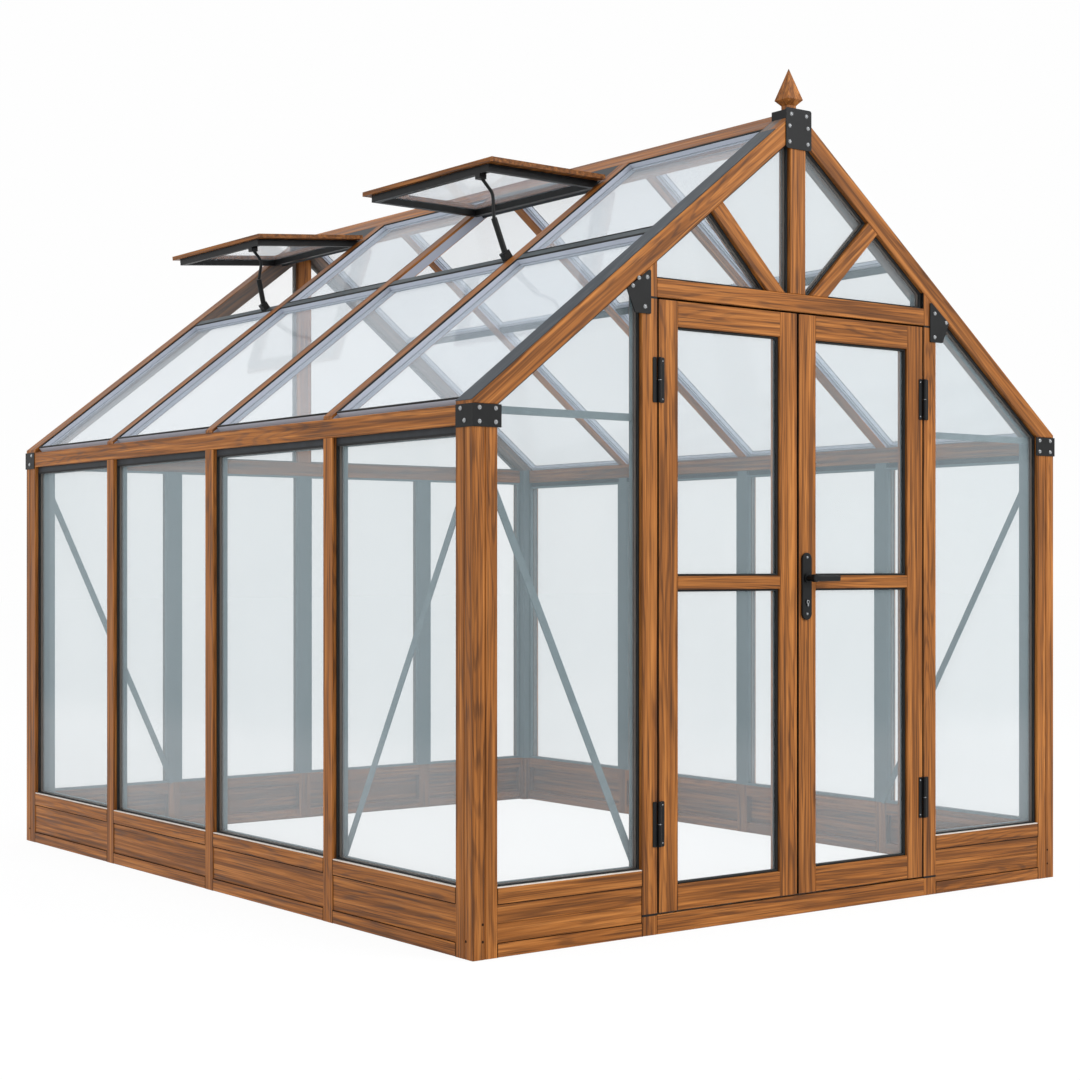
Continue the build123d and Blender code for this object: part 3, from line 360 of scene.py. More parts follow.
# Painted shade on the inner faces: share, depth and colour; grey for posts and rafters, brown for the base.
GREY_PAINTED_SHADE = (1.0, 38.0 * MM, "#5f6c70")
PART_PAINTED_SHADE = (0.6, 38.0 * MM, "#5f6c70")
SHADED = (0.38, 20.0 * MM, "#43352a")
members = {
    "base_stiles": {"grain": "Z", "cells": POST_CELLS, "shift": BAY_SHIFT, "painted_shade": SHADED},
    "corner_posts": {"grain": "Z", "cells": POST_CELLS, "shift": BAY_SHIFT, "painted_shade": GREY_PAINTED_SHADE},
    "wall_posts": {"grain": "Z", "cells": POST_CELLS, "shift": BAY_SHIFT, "tone": 1.04,
                   "painted_shade": GREY_PAINTED_SHADE},
    "king_posts": {"grain": "Z", "cells": (FAR, 2.0, FAR), "tone": 1.08},
    "door_jambs": {"grain": "Z", "cells": LEFT_AND_RIGHT, "gap_shade": True},
    "left_door_stiles": {"grain": "Z", "cells": STILE_CELLS, "gap_shade": True},
    "right_door_stiles": {"grain": "Z", "cells": STILE_CELLS, "gap_shade": True},
    "finial": {"grain": "Z", "cells": ONE_BOARD},
    "base_side_rails": {"grain": "Y", "cells": (2.0, BAY, RAIL_STEP), "painted_shade": SHADED},
    "base_side_panels": {"grain": "Y", "cells": (2.0, BAY, FAR), "tone": 0.97, "painted_shade": SHADED},
    "eave_beams": {"grain": "Y", "cells": LEFT_AND_RIGHT, "painted_shade": SHADED},
    "ridge_beam": {"grain": "Y", "cells": ONE_BOARD},
    "ridge_boards": {"grain": "Y", "cells": LEFT_AND_RIGHT},
    "vent_frames": {"grain": "Y", "cells": (FAR, BAY, FAR), "tone": 0.72},
    "base_end_rails": {"grain": "X", "cells": (QUARTER, 2.0, RAIL_STEP), "painted_shade": SHADED},
    "base_end_panels": {"grain": "X", "cells": (QUARTER, 2.0, BOARD_STEP), "tone": 0.97, "painted_shade": SHADED},
    "back_tie_beam": {"grain": "X", "cells": ONE_BOARD, "painted_shade": SHADED},
    "head_beam": {"grain": "X", "cells": ONE_BOARD},
    "door_sill": {"grain": "X", "cells": ONE_BOARD},
    "left_door_rails": {"grain": "X", "cells": (FAR, FAR, DOOR_STEP), "gap_shade": True},
    "right_door_rails": {"grain": "X", "cells": (FAR, FAR, DOOR_STEP), "gap_shade": True},
    "gable_rafters": {"grain": "slope", "cells": (2.0, 2.0, FAR), "angle": PITCH, "tone": 0.97,
                      "painted_shade": PART_PAINTED_SHADE},
    "roof_bar_caps": {"grain": "slope", "cells": (2.0, BAY, FAR), "shift": CAP_SHIFT, "angle": PITCH,
                      "tone": 0.92},
    "gable_struts": {"grain": "slope", "cells": LEFT_AND_RIGHT, "angle": STRUT},
}
for name, facts in members.items():
    dress(stained_timber("timber_" + name, **facts), name)
print("timber nodes", len(members), "pitch", round(math.degrees(PITCH), 2))

# %% [markdown]
# The plates, hinges and handle are steel with a black powder coat. The powder melts to a skin with a fine
# orange peel, about a millimetre from bump to bump, which breaks up highlights and leaves a soft sheen on
# each edge. A plain dark colour would look like plastic, so the peel is a shallow bump. The same skin, in
# greys, covers the aluminium bars, rails and braces.

# %% Powder coat
CLOUD_SCALE = 18.0                            # thicker and thinner patches of paint, 55 mm wide
PEEL_BUMP = 0.15 * MM


def powder_coat(name, dark, pale, roughness, grain):
    """Powder-coated metal: a skin between two close colours, with a fine bumpy surface."""
    material, tree, shader = new_material(name)
    point = add(tree, "ShaderNodeTexCoord").outputs["Object"]
    peel = add(tree, "ShaderNodeTexNoise", {"Vector": point, "Scale": 1 / grain, "Detail": 2.0}).outputs[0]
    cloud = {"Vector": point, "Scale": CLOUD_SCALE, "Detail": 3.0}
    cloud = add(tree, "ShaderNodeTexNoise", cloud).outputs[0]
    colour = add(tree, "ShaderNodeValToRGB", {"Fac": cloud}, stops=((0.3, dark), (0.7, pale)))
    rough = add(tree, "ShaderNodeMapRange", {"Value": cloud, 3: roughness - 0.06, 4: roughness + 0.06})
    bump = add(tree, "ShaderNodeBump", {"Height": peel, "Strength": 0.25, "Distance": PEEL_BUMP})
    fill(shader, {"Base Color": colour.outputs[0], "Roughness": rough.outputs[0], "Normal": bump.outputs[0],
                  "Specular IOR Level": 0.2})
    return material


black_steel = powder_coat("powder_coated_steel", "#0d0e0f", "#161718", 0.44, 1.2 * MM)
grey_bar = powder_coat("powder_coated_aluminium", "#25282b", "#31353a", 0.50, 1.6 * MM)
purlin_grey = powder_coat("dark_grey_aluminium", "#3d464b", "#4b555a", 0.48, 1.6 * MM)
grey_aluminium = powder_coat("grey_painted_aluminium", "#5c6a6e", "#6a787c", 0.48, 1.6 * MM)
dress(black_steel, "apex_brackets", "knee_brackets", "eave_brackets", "frame_hinges", "left_door_hinges",
      "right_door_hinges", "door_handle_plates", "door_lever", "vent_openers", "vent_hinges",
      "vent_underframes")
dress(grey_bar, "vent_trimmers", "eave_strips")
dress(grey_aluminium, "braces", "front_tie_rails")
dress(purlin_grey, "purlins")

# %% [markdown]
# The roof bars are aluminium glazing profiles on a timber batten. Beside the panes the pale metal sides
# show, and from inside the brown batten shows along the underside. They could be two pieces each, but the
# CAD gives one solid, so one material follows both, by the depth below the roof plane.

# %% Roof bars
BATTEN_DEPTH = 39.0 * MM
BAR_METAL = "#b2b7c6"


def below_roof(tree, depth):
    """One for points that lie deeper than that below the plane of the roof, else nought.

    The plane is at height RIDGE - |x| tan(pitch), and a depth d along its normal is d / cos(pitch) straight
    down.
    """
    point = add(tree, "ShaderNodeTexCoord").outputs["Object"]
    x, y, z = add(tree, "ShaderNodeSeparateXYZ", {0: point}).outputs
    side = add(tree, "ShaderNodeMath", {0: x}, operation="ABSOLUTE").outputs[0]
    plane = {0: side, 1: -math.tan(PITCH), 2: RIDGE}
    plane = add(tree, "ShaderNodeMath", plane, operation="MULTIPLY_ADD").outputs[0]
    drop = add(tree, "ShaderNodeMath", {0: plane, 1: z}, operation="SUBTRACT").outputs[0]
    deeper = {0: drop, 1: depth / math.cos(PITCH)}
    return add(tree, "ShaderNodeMath", deeper, operation="GREATER_THAN").outputs[0]


bars_material, tree, shader = new_material("glazing_bar_on_batten")
surface = timber_surface(tree, "slope", (2.0, BAY, FAR), CAP_SHIFT, PITCH, 1.0)
split = {"Factor": below_roof(tree, BATTEN_DEPTH), 6: linear(BAR_METAL), 7: surface["Base Color"]}
surface["Base Color"] = add(tree, "ShaderNodeMix", split, data_type="RGBA").outputs[2]
fill(shader, surface | {"Specular IOR Level": 0.3})
dress(bars_material, "roof_bars")

# %% [markdown]
# The verge is the sloping edge of the roof. At the front a slate grey metal flashing covers it, and at the
# back a brown cap board. Both ends belong to one node, so one material follows both, by the sign of y.

# %% Verge covers
verge, tree, shader = new_material("slate_flashing_and_cap_board")
surface = timber_surface(tree, "slope", (2.0, 2.0, FAR), NO_SHIFT, PITCH, 0.9)
point = add(tree, "ShaderNodeTexCoord").outputs["Object"]
x, y, z = add(tree, "ShaderNodeSeparateXYZ", {0: point}).outputs
back = add(tree, "ShaderNodeMath", {0: y, 1: 0.0}, operation="GREATER_THAN").outputs[0]
cloud = add(tree, "ShaderNodeTexNoise", {"Vector": point, "Scale": CLOUD_SCALE, "Detail": 3.0}).outputs[0]
slate = add(tree, "ShaderNodeValToRGB", {"Fac": cloud}, stops=((0.0, "#2d343b"), (1.0, "#3b434b"))).outputs[0]
ends = {"Factor": back, 6: slate, 7: surface["Base Color"]}
ends = add(tree, "ShaderNodeMix", ends, data_type="RGBA").outputs[2]
fill(shader, {"Base Color": ends, "Roughness": surface["Roughness"], "Specular IOR Level": TIMBER_LEVEL})
dress(verge, "roof_flashings")

# %% [markdown]
# The gaskets are extruded rubber, nearly black and matt, with faint drawing marks four millimetres apart.
# On the doors they are plain. On the walls only the front lip is rubber, and behind it shows the timber of
# the rebate that the gasket sits in. On the roof the part behind the lip is painted a pale blue-grey, a
# painted light on the lower side of the gasket, which lies in shade. A mask by depth gives both.

# %% Rubber and gaskets
MARKS_SCALE = 240.0                           # drawing marks 4 mm apart
ROOF_SKIRT = 5.0 * MM                         # depth of the rubber on the roof
WALL_SKIRT = 23.0 * MM                        # depth of the rubber on the walls

rubber, tree, shader = new_material("rubber_gasket")
point = add(tree, "ShaderNodeTexCoord").outputs["Object"]
marks = add(tree, "ShaderNodeTexNoise", {"Vector": point, "Scale": MARKS_SCALE, "Detail": 2.0}).outputs[0]
black = add(tree, "ShaderNodeValToRGB", {"Fac": marks}, stops=((0.0, "#0d0e0e"), (1.0, "#1d1f20")))
matt = add(tree, "ShaderNodeMapRange", {"Value": marks, 3: 0.55, 4: 0.72})
fill(shader, {"Base Color": black.outputs[0], "Roughness": matt.outputs[0], "Specular IOR Level": 0.3})
dress(rubber, "left_door_gaskets", "right_door_gaskets", "door_stops")


def two_tone_gasket(name, behind, code):
    """Black rubber in front, and a second colour behind it where the mask is one."""
    material, tree, shader = new_material(name)
    point = add(tree, "ShaderNodeTexCoord").outputs["Object"]
    marks = {"Vector": point, "Scale": MARKS_SCALE, "Detail": 2.0}
    marks = add(tree, "ShaderNodeTexNoise", marks).outputs[0]
    matt = add(tree, "ShaderNodeMapRange", {"Value": marks, 3: 0.45, 4: 0.60}).outputs[0]
    tones = {"Factor": behind(tree), 6: linear("#151616"), 7: linear(code)}
    tones = add(tree, "ShaderNodeMix", tones, data_type="RGBA").outputs[2]
    fill(shader, {"Base Color": tones, "Roughness": matt, "Specular IOR Level": 0.3})
    return material


# On the roof the pale behind the lip is painted light on the shaded lower side of the gasket.
roof_gasket_painted_pale = two_tone_gasket("roof_gasket_with_painted_light", lambda tree: below_roof(tree, ROOF_SKIRT), "#bcc2cf")
on_timber = two_tone_gasket("wall_gasket_on_timber", lambda tree: indoors(tree, 1.0, WALL_SKIRT), "#6d645d")
dress(on_timber, "wall_gaskets")
dress(roof_gasket_painted_pale, "roof_gaskets")

# %% [markdown]
# The glass is toughened float glass, four millimetres thick. Outdoors it carries a thin bright veil of sky
# reflections and dust, so that timber behind a pane turns grey-brown and a white wall behind it turns
# faintly blue. Real transmission would need many bounces through each pane for the same look. A see-through
# share with a pale skin gives the veil, and lets the light into the building, so the veil is a painted
# reflection with the dust in it. The veil thickens at a glancing angle, as reflections do, and is darker
# below a skyline, as where a pane mirrors the ground. That darker part is a painted reflection, put on by
# height, so it stays where it is when the camera or the light moves, which a real reflection would not.

# %% Glass
SKYLINE = (0.50, 0.66)                        # heights between which the painted reflection of the ground gives way to sky
GLASS_CLOUD = 1.3                             # soft patches of dust, 0.8 m wide
CLOUD_SHARE = 0.3                             # the veil is that much thinner or thicker in a patch


def pane_glass(name, above, below, veil, glancing):
    """Clear glass with a veil of one colour above the skyline and another below it.

    The share of the veil is glancing times Layer Weight's Facing, plus the even veil of the dust.
    """
    material, tree, shader = new_material(name)
    point = add(tree, "ShaderNodeTexCoord").outputs["Object"]
    cloud = add(tree, "ShaderNodeTexNoise", {"Vector": point, "Scale": GLASS_CLOUD, "Detail": 2.0}).outputs[0]
    facing = add(tree, "ShaderNodeLayerWeight", {"Blend": 0.5}).outputs["Facing"]
    mottle = {"Value": cloud, 1: 0.3, 2: 0.7, 3: veil * (1 - CLOUD_SHARE), 4: veil * (1 + CLOUD_SHARE)}
    mottle = add(tree, "ShaderNodeMapRange", mottle).outputs[0]
    alpha = {0: facing, 1: glancing, 2: mottle}
    alpha = add(tree, "ShaderNodeMath", alpha, operation="MULTIPLY_ADD").outputs[0]
    height = add(tree, "ShaderNodeSeparateXYZ", {0: point}).outputs["Z"]
    sky_share = {"Value": height, 1: SKYLINE[0], 2: SKYLINE[1]}
    sky_share = add(tree, "ShaderNodeMapRange", sky_share, interpolation_type="SMOOTHSTEP").outputs[0]
    tint = {"Factor": sky_share, 6: linear(below), 7: linear(above)}
    tint = add(tree, "ShaderNodeMix", tint, data_type="RGBA").outputs[2]
    fill(shader, {"Base Color": tint, "Alpha": alpha, "Roughness": 0.04})
    return material


wall_float = pane_glass("float_glass", "#becfd6", "#d4e0e6", 0.045, 0.32)
roof_float = pane_glass("roof_float_glass", "#dae7f2", "#e0ebf4", 0.05, 0.31)
dress(wall_float, "side_glass", "gable_glass", "left_door_glass", "right_door_glass")
dress(roof_float, "roof_glass", "vent_glass")

# %% [markdown]
# Small pieces are surfaces computed as grids of points. Primitives and modifiers could make them, but a
# grid says where each point is in one formula, and numpy works out all of them at once. The first two tools
# join a grid up with quads and make an object of it that rides on a body.

# %% Grids of points


def grid_quads(rows, columns, close_rows=False):
    """Quads of a grid of points whose columns join up, and whose rows join up if asked."""
    i = np.arange(rows if close_rows else rows - 1)[:, None]
    j = np.arange(columns)[None, :]
    corners = [(i, j), (i, j + 1), (i + 1, j + 1), (i + 1, j)]
    shape = (i.size, j.size)
    return np.stack([np.broadcast_to(a % rows * columns + b % columns, shape) for a, b in corners], -1)


def piece(name, grids, material, body, close_rows=False, smooth=False):
    """One object from a stack of equal grids of points, shape (copies, rows, columns, 3), on a body."""
    grids = np.asarray(grids, float)
    copies, rows, columns = grids.shape[:3]
    quads = grid_quads(rows, columns, close_rows).reshape(1, -1, 4)
    quads = quads + (np.arange(copies) * rows * columns)[:, None, None]
    data = bpy.data.meshes.new(name)
    data.from_pydata(grids.reshape(-1, 3), [], quads.reshape(-1, 4))
    data.polygons.foreach_set("use_smooth", np.full(len(data.polygons), smooth))
    data.materials.append(material)
    made = bpy.data.objects.new(name, data)
    bpy.context.collection.objects.link(made)
    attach(made, body)
    print(name, "faces", len(data.polygons))
    return made


print("a closed grid of 3 by 4 points has", grid_quads(3, 4, True).shape[:2], "quads")

# %% [markdown]
# The places for the small pieces come from the frame. One node may hold many panes or gaskets, so its mesh
# is first taken apart into solids. The outline of a pane is then the hull of the points on its outer face.

# %% Reading the frame
FACE_SLACK = 0.5 * MM                         # points that close to the outermost one are on the outer face


def solids(node):
    """The corners of each solid of a CAD node, found by spreading the lowest label along its edges."""
    data = frame["nodes"][node].data
    points = np.empty(3 * len(data.vertices))
    data.vertices.foreach_get("co", points)
    points, same = np.unique(points.reshape(-1, 3).round(5), axis=0, return_inverse=True)
    ends = np.empty(2 * len(data.edges), int)
    data.edges.foreach_get("vertices", ends)
    a, b = same.ravel()[ends.reshape(-1, 2)].T
    label = np.arange(len(points))
    while True:
        lowest = np.minimum(label[a], label[b])
        spread = label.copy()
        np.minimum.at(spread, a, lowest)
        np.minimum.at(spread, b, lowest)
        if (spread == label).all():
            return [points[label == k] for k in np.unique(label)]
        label = spread


def face_outline(points, outwards):
    """Corners of the outer face of a flat solid, anticlockwise from outside, and the normal of that face.

    The normal is the direction in which the points spread least, turned to the side that outwards points to.
    """
    middle = points.mean(axis=0)
    axes = np.linalg.svd(points - middle)[2]
    normal = axes[2] * np.sign(axes[2] @ outwards(middle))
    height = (points - middle) @ normal
    face = points[height > height.max() - FACE_SLACK]
    u = axes[0]
    v = np.cross(normal, u)
    hull = convex_hull_2d([(float((p - middle) @ u), float((p - middle) @ v)) for p in face])
    return face[hull], normal


print("side panes", len(solids("side_glass")), "gable panes", len(solids("gable_glass")))

# %% [markdown]
# Every small piece here is one of three shapes: a section carried round the outline of a pane, a turned
# shape set on a face, or a thin bar along an edge. Each is a function that gives whole grids of points.

# %% Rings, turned shapes and strips
STRIP_SECTION = [(-1, -0.4), (-1, 1), (1, 1), (1, -0.4)]      # in half widths and heights
SHUT = 0.001                                                  # an end drawn in to a thousandth is closed


def mitred_ring(outline, normal, profile):
    """A section carried round a flat outline, with mitred corners.

    profile holds (s, d): the distance s in from the outline and the depth d below its plane. With p and q the
    inward normals of the two sides that meet at corner c, point (i, j) is c + s (p + q) / (1 + p.q) - d n.
    """
    along = np.roll(outline, -1, axis=0) - outline
    along /= np.linalg.norm(along, axis=1)[:, None]
    q = np.cross(normal, along)
    p = np.roll(q, 1, axis=0)
    mitre = (p + q) / (1 + (p * q).sum(axis=1))[:, None]
    s, d = np.asarray(profile, float).T
    return outline[:, None] + s[None, :, None] * mitre[:, None] - d[None, :, None] * normal


def turned(centres, normal, profile, sides=20):
    """Turned shapes on a face: point (i, j) is c + r_i (u cos a_j + v sin a_j) + h_i n.

    profile holds (r, h, hexagon) from the rim to the middle. Where hexagon is 1 the radius follows a hexagon
    of that size across its corners: r cos 30 / cos(a mod 60 - 30).
    """
    normal = np.asarray(normal, float)
    u = np.cross(normal, (0.0, 0.0, 1.0) if abs(normal[2]) < 0.9 else (1.0, 0.0, 0.0))
    u /= np.linalg.norm(u)
    v = np.cross(normal, u)
    angle = np.arange(sides) * 2 * np.pi / sides
    r, h, hexagon = np.asarray(profile, float).T
    flat = np.cos(np.pi / 6) / np.cos(angle % (np.pi / 3) - np.pi / 6)
    radius = r[:, None] * (1 + hexagon[:, None] * (flat - 1))
    spoke = np.cos(angle)[:, None] * u + np.sin(angle)[:, None] * v
    ring = radius[..., None] * spoke + h[:, None, None] * normal
    return np.asarray(centres, float)[:, None, None] + ring


def strips(lines, width, height):
    """Thin bars with closed ends along lines (start, end, normal).

    Point (i, j) is e_i + k_i (a_j w / 2 side + b_j h normal), with (a, b) on the section, and k nearly nought
    at both ends.
    """
    start, end, normal = (np.array(part, float) for part in zip(*lines))
    along = (end - start) / np.linalg.norm(end - start, axis=1)[:, None]
    side = np.cross(along, normal)
    section = np.array(STRIP_SECTION) * (width / 2, height)
    rows = [(start, SHUT), (start, 1.0), (end, 1.0), (end, SHUT)]
    return np.stack([np.stack([centre + size * (a * side + b * normal) for a, b in section], 1)
                     for centre, size in rows], 1)


print("points of a strip", strips([((0, 0, 0), (1, 0, 0), (0, 0, 1))], 1.0, 1.0).shape)

# %% [markdown]
# Inside each wall pane an aluminium bead holds the glass in its gasket. It is a small grey bar, mitred at
# the corners, and through the glass it is the grey-green strip beside each post. Four straight bars would
# need cutting at every corner, also at the sloping ones under the roof. A section carried round the outline
# of the gasket mitres itself. The bead starts where the gasket ends and stops just short of the inner face
# of the wall. Only the panes that stand on the base have one.

# %% Inner glazing beads
GASKET_DEPTH = 24.0 * MM
BEAD_WIDTH = 9.0 * MM
BEAD_DEPTH = 15.0 * MM
BEAD_EASE = 2.0 * MM                          # chamfer of the bead's inner edge
STANDING = 0.3                                # panes whose lowest point is under this stand on the base


def wall_side(point):
    """Outwards from the wall that a point lies in."""
    side = abs(point[0]) / WIDTH > abs(point[1]) / LENGTH
    return np.array([np.sign(point[0]), 0.0, 0.0]) if side else np.array([0.0, np.sign(point[1]), 0.0])


wall_outlines = [face_outline(part, wall_side) for part in solids("wall_gaskets")]
bead_back = GASKET_DEPTH + BEAD_DEPTH
bead_profile = [
    (0.0, GASKET_DEPTH), (BEAD_WIDTH, GASKET_DEPTH), (BEAD_WIDTH, bead_back - BEAD_EASE),
    (BEAD_WIDTH - BEAD_EASE, bead_back), (0.0, bead_back),
]
for corners in (4, 3, 5):
    standing = [(o, n) for o, n in wall_outlines if o[:, 2].min() < STANDING and len(o) == corners]
    rings = [mitred_ring(o, n, bead_profile) for o, n in standing]
    if rings:
        piece(f"glazing_beads_{corners}", rings, grey_aluminium, "frame", close_rows=True)

# %% [markdown]
# The gaskets end in a soft rounded lip that presses on the timber. The lip catches a thin line of light all
# round each pane. A bevel on the gasket would round its edge too, but the lip is a bead of its own, so it
# is a small arch carried round the front face of each gasket.

# %% Gasket lips
LIP_WIDTH = 7.0 * MM
LIP_RISE = 1.8 * MM
LIP_ROOT = 0.5 * MM                           # the feet of the arch sink that deep into the gasket
LIP_STEPS = 7
swing = np.linspace(0.0, np.pi, LIP_STEPS)
lip_profile = np.stack([LIP_WIDTH / 2 * (1 - np.cos(swing)), -LIP_RISE * np.sin(swing)], -1)
lip_profile = np.concatenate([[(0.0, LIP_ROOT)], lip_profile, [(LIP_WIDTH, LIP_ROOT)]])


def roof_side(point):
    """Up and out from the slope of the roof that a point lies in."""
    return np.array([np.sign(point[0]) * math.sin(PITCH), 0.0, math.cos(PITCH)])


def door_front(point):
    """Towards the front."""
    return np.array([0.0, -1.0, 0.0])


lipped = [
    ("wall", wall_outlines, "frame"),
    ("roof", [face_outline(part, roof_side) for part in solids("roof_gaskets")], "frame"),
    ("left_door", [face_outline(part, door_front) for part in solids("left_door_gaskets")], "left_door"),
    ("right_door", [face_outline(part, door_front) for part in solids("right_door_gaskets")], "right_door"),
]
for where, outlines, body in lipped:
    for corners in sorted({len(o) for o, n in outlines}):
        rings = [mitred_ring(o, n, lip_profile) for o, n in outlines if len(o) == corners]
        piece(f"{where}_gasket_lips_{corners}", rings, rubber, body, close_rows=True, smooth=True)

# %% [markdown]
# The brackets are held by domed stainless screws with a hexagon socket. Their bright domes are the sparkle
# on the black plates. Polished stainless steel reflects the sky. Turning leaves marks about a millimetre
# apart, and they soften the reflection, so the roughness wavers with them.

# %% Stainless steel
TURNING_SCALE = 900.0                         # turning marks 1.1 mm apart
stainless, tree, shader = new_material("stainless_steel")
point = add(tree, "ShaderNodeTexCoord").outputs["Object"]
scratches = add(tree, "ShaderNodeTexNoise", {"Vector": point, "Scale": TURNING_SCALE, "Detail": 2.0})
rough = add(tree, "ShaderNodeMapRange", {"Value": scratches.outputs[0], 3: 0.16, 4: 0.34}).outputs[0]
fill(shader, {"Base Color": linear("#96989a"), "Metallic": 1.0, "Roughness": rough})
print(stainless.name, "metallic", shader.inputs["Metallic"].default_value)

# %% [markdown]
# Each screw is a turned shape: a flange, a dome, and a socket that goes from round to hexagonal. A Boolean
# could cut the socket out of a dome, but it leaves long thin faces that shade badly. The places are laid
# off from the edges of each plate's box, as a fitter would mark them.

# %% Screws of the brackets
SCREW_RADIUS = 7.0 * MM
SCREW_SIDES = 24
SCREW_FOOT = 0.2 * MM                         # the rim sinks that deep into the plate
DOME_STEPS = 5
APEX_PLACES = [(34.0, 20.0), (41.0, 59.0), (41.0, 111.0)]         # mm from the middle and from the top
WRAP_FRONT = [(25.0, 12.0), (83.0, 12.0), (25.0, 52.0), (83.0, 52.0)]      # from the outer edge and the top
WRAP_SIDE = [(62.0, 12.0), (42.0, 48.0)]
KNEE_LEFT = [(48.0, 107.0), (15.0, 112.0), (72.0, 81.0), (24.0, 21.0)]     # from the inner edge and the foot
KNEE_RIGHT = [(24.0, 100.0), (82.0, 72.0), (23.0, 18.0)]
KNEE_INNER = 632.0 * MM                       # the knee plates' inner edge, from the middle of the gable


def screw_profile(radius):
    """Rim, dome and hexagon socket of a screw of that radius.

    The dome falls from 0.94 to 0.5 of the radius as it rises to 0.55 of it, and the socket is 0.35 deep.
    """
    dome = np.linspace(0.0, 1.0, DOME_STEPS)
    rows = [(radius, -SCREW_FOOT, 0), (radius, 0.10 * radius, 0)]
    rise = 0.10 + 0.45 * np.sin(dome * math.pi / 2)
    rows += [(radius * (0.94 - 0.44 * t), radius * h, 0) for t, h in zip(dome, rise)]
    return rows + [(radius * r, radius * h, 1) for r, h in ((0.44, 0.55), (0.42, 0.20), (0.0, 0.20))]


def screws(name, centres, normal, body, radius=SCREW_RADIUS):
    """Stainless screws at the given places on a face with that normal."""
    shapes = turned(centres, normal, screw_profile(radius), SCREW_SIDES)
    return piece(name, shapes, stainless, body, smooth=True)


apex_low, apex_high = (np.array(v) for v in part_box("apex_brackets"))
knee_low = np.array(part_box("knee_brackets")[0])
wrap_low, wrap_high = (np.array(v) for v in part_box("eave_brackets"))
ends = (("front", apex_low[1], wrap_low[1], (0, -1, 0)), ("back", apex_high[1], wrap_high[1], (0, 1, 0)))
for end, apex_face, wrap_face, normal in ends:
    places = [(s * x * MM, apex_face, apex_high[2] - z * MM) for x, z in APEX_PLACES for s in (-1, 1)]
    for s in (-1, 1):
        edge = s * wrap_high[0]
        places += [(edge - s * x * MM, wrap_face, wrap_high[2] - z * MM) for x, z in WRAP_FRONT]
    if end == "front":
        places += [(-KNEE_INNER - x * MM, knee_low[1], knee_low[2] + z * MM) for x, z in KNEE_LEFT]
        places += [(KNEE_INNER + x * MM, knee_low[1], knee_low[2] + z * MM) for x, z in KNEE_RIGHT]
    screws(f"{end}_plate_screws", places, normal, "frame")
for s, side in ((-1, "left"), (1, "right")):
    places = []
    for end, edge in ((-1, wrap_low[1]), (1, wrap_high[1])):
        places += [(s * wrap_high[0], edge - end * y * MM, wrap_high[2] - z * MM) for y, z in WRAP_SIDE]
    screws(f"{side}_wrap_screws", places, (s, 0, 0), "frame")

# %% [markdown]
# Each hinge has a plate on the leaf, held by two small stainless screws near its ends, and a bright washer
# on its pin where the two knuckles meet. The screws are the bracket screws again, made smaller. The washer
# is a ring about the pin, so it looks alike however far the door is open, and it can stay on the frame.

# %% Hinge screws and washers
HINGE_SCREW = 2.6 * MM
HINGE_SCREW_INSET = 11.0 * MM                 # from the ends of the hinge
HINGE_SCREW_AWAY = 16.0 * MM                  # from the pin to the row of screws
HINGE_PLATE = 2.5 * MM
HINGE_HEIGHTS = (0.340, 1.710)
WASHER = [(5.8, -0.9, 0), (6.6, -0.6, 0), (6.6, 0.6, 0), (5.8, 0.9, 0)]    # radius and height, mm
for s, leaf in ((-1, "left_door"), (1, "right_door")):
    places = []
    for part in solids(f"{leaf}_hinges"):
        for z in (part[:, 2].min() + HINGE_SCREW_INSET, part[:, 2].max() - HINGE_SCREW_INSET):
            places.append((s * (HINGE_X - HINGE_SCREW_AWAY), -LENGTH / 2 - HINGE_PLATE, z))
    screws(f"{leaf}_hinges_screws", places, (0, -1, 0), leaf, radius=HINGE_SCREW)
for s, side in ((-1, "left"), (1, "right")):
    pin = pins[f"{side}_door"]
    washers = turned([(pin[0], pin[1], z) for z in HINGE_HEIGHTS], (0, 0, 1), np.array(WASHER) * (MM, MM, 1))
    piece(f"{side}_hinge_rings", washers, stainless, "frame", smooth=True)

# %% [markdown]
# The long plate of the handle is held by two screws, one near each end. The lock below the lever shows the
# end of its cylinder: a bright disc, a dark key slot, and the flat tail of the cylinder under it. The key
# slot is a disc in the black of the rubber, painted shade of the slot. All of them are turned shapes and one
# strip, the same on both sides of the door.

# %% Handle screws and lock
HANDLE_SCREW = 4.0 * MM
HANDLE_SCREW_TOP = 15.0 * MM
HANDLE_SCREW_FOOT = 20.0 * MM
COLLAR_RISE = 3.0 * MM                        # the lock's collar stands that far proud of the plate
LOCK_Z = 1019.0 * MM
LOCK_SIDES = 32
CYLINDER = [(6.6, -1.0, 0), (6.6, 0.5, 0), (6.0, 0.9, 0), (4.0, 0.9, 0), (3.8, 0.4, 0), (0.0, 0.4, 0)]
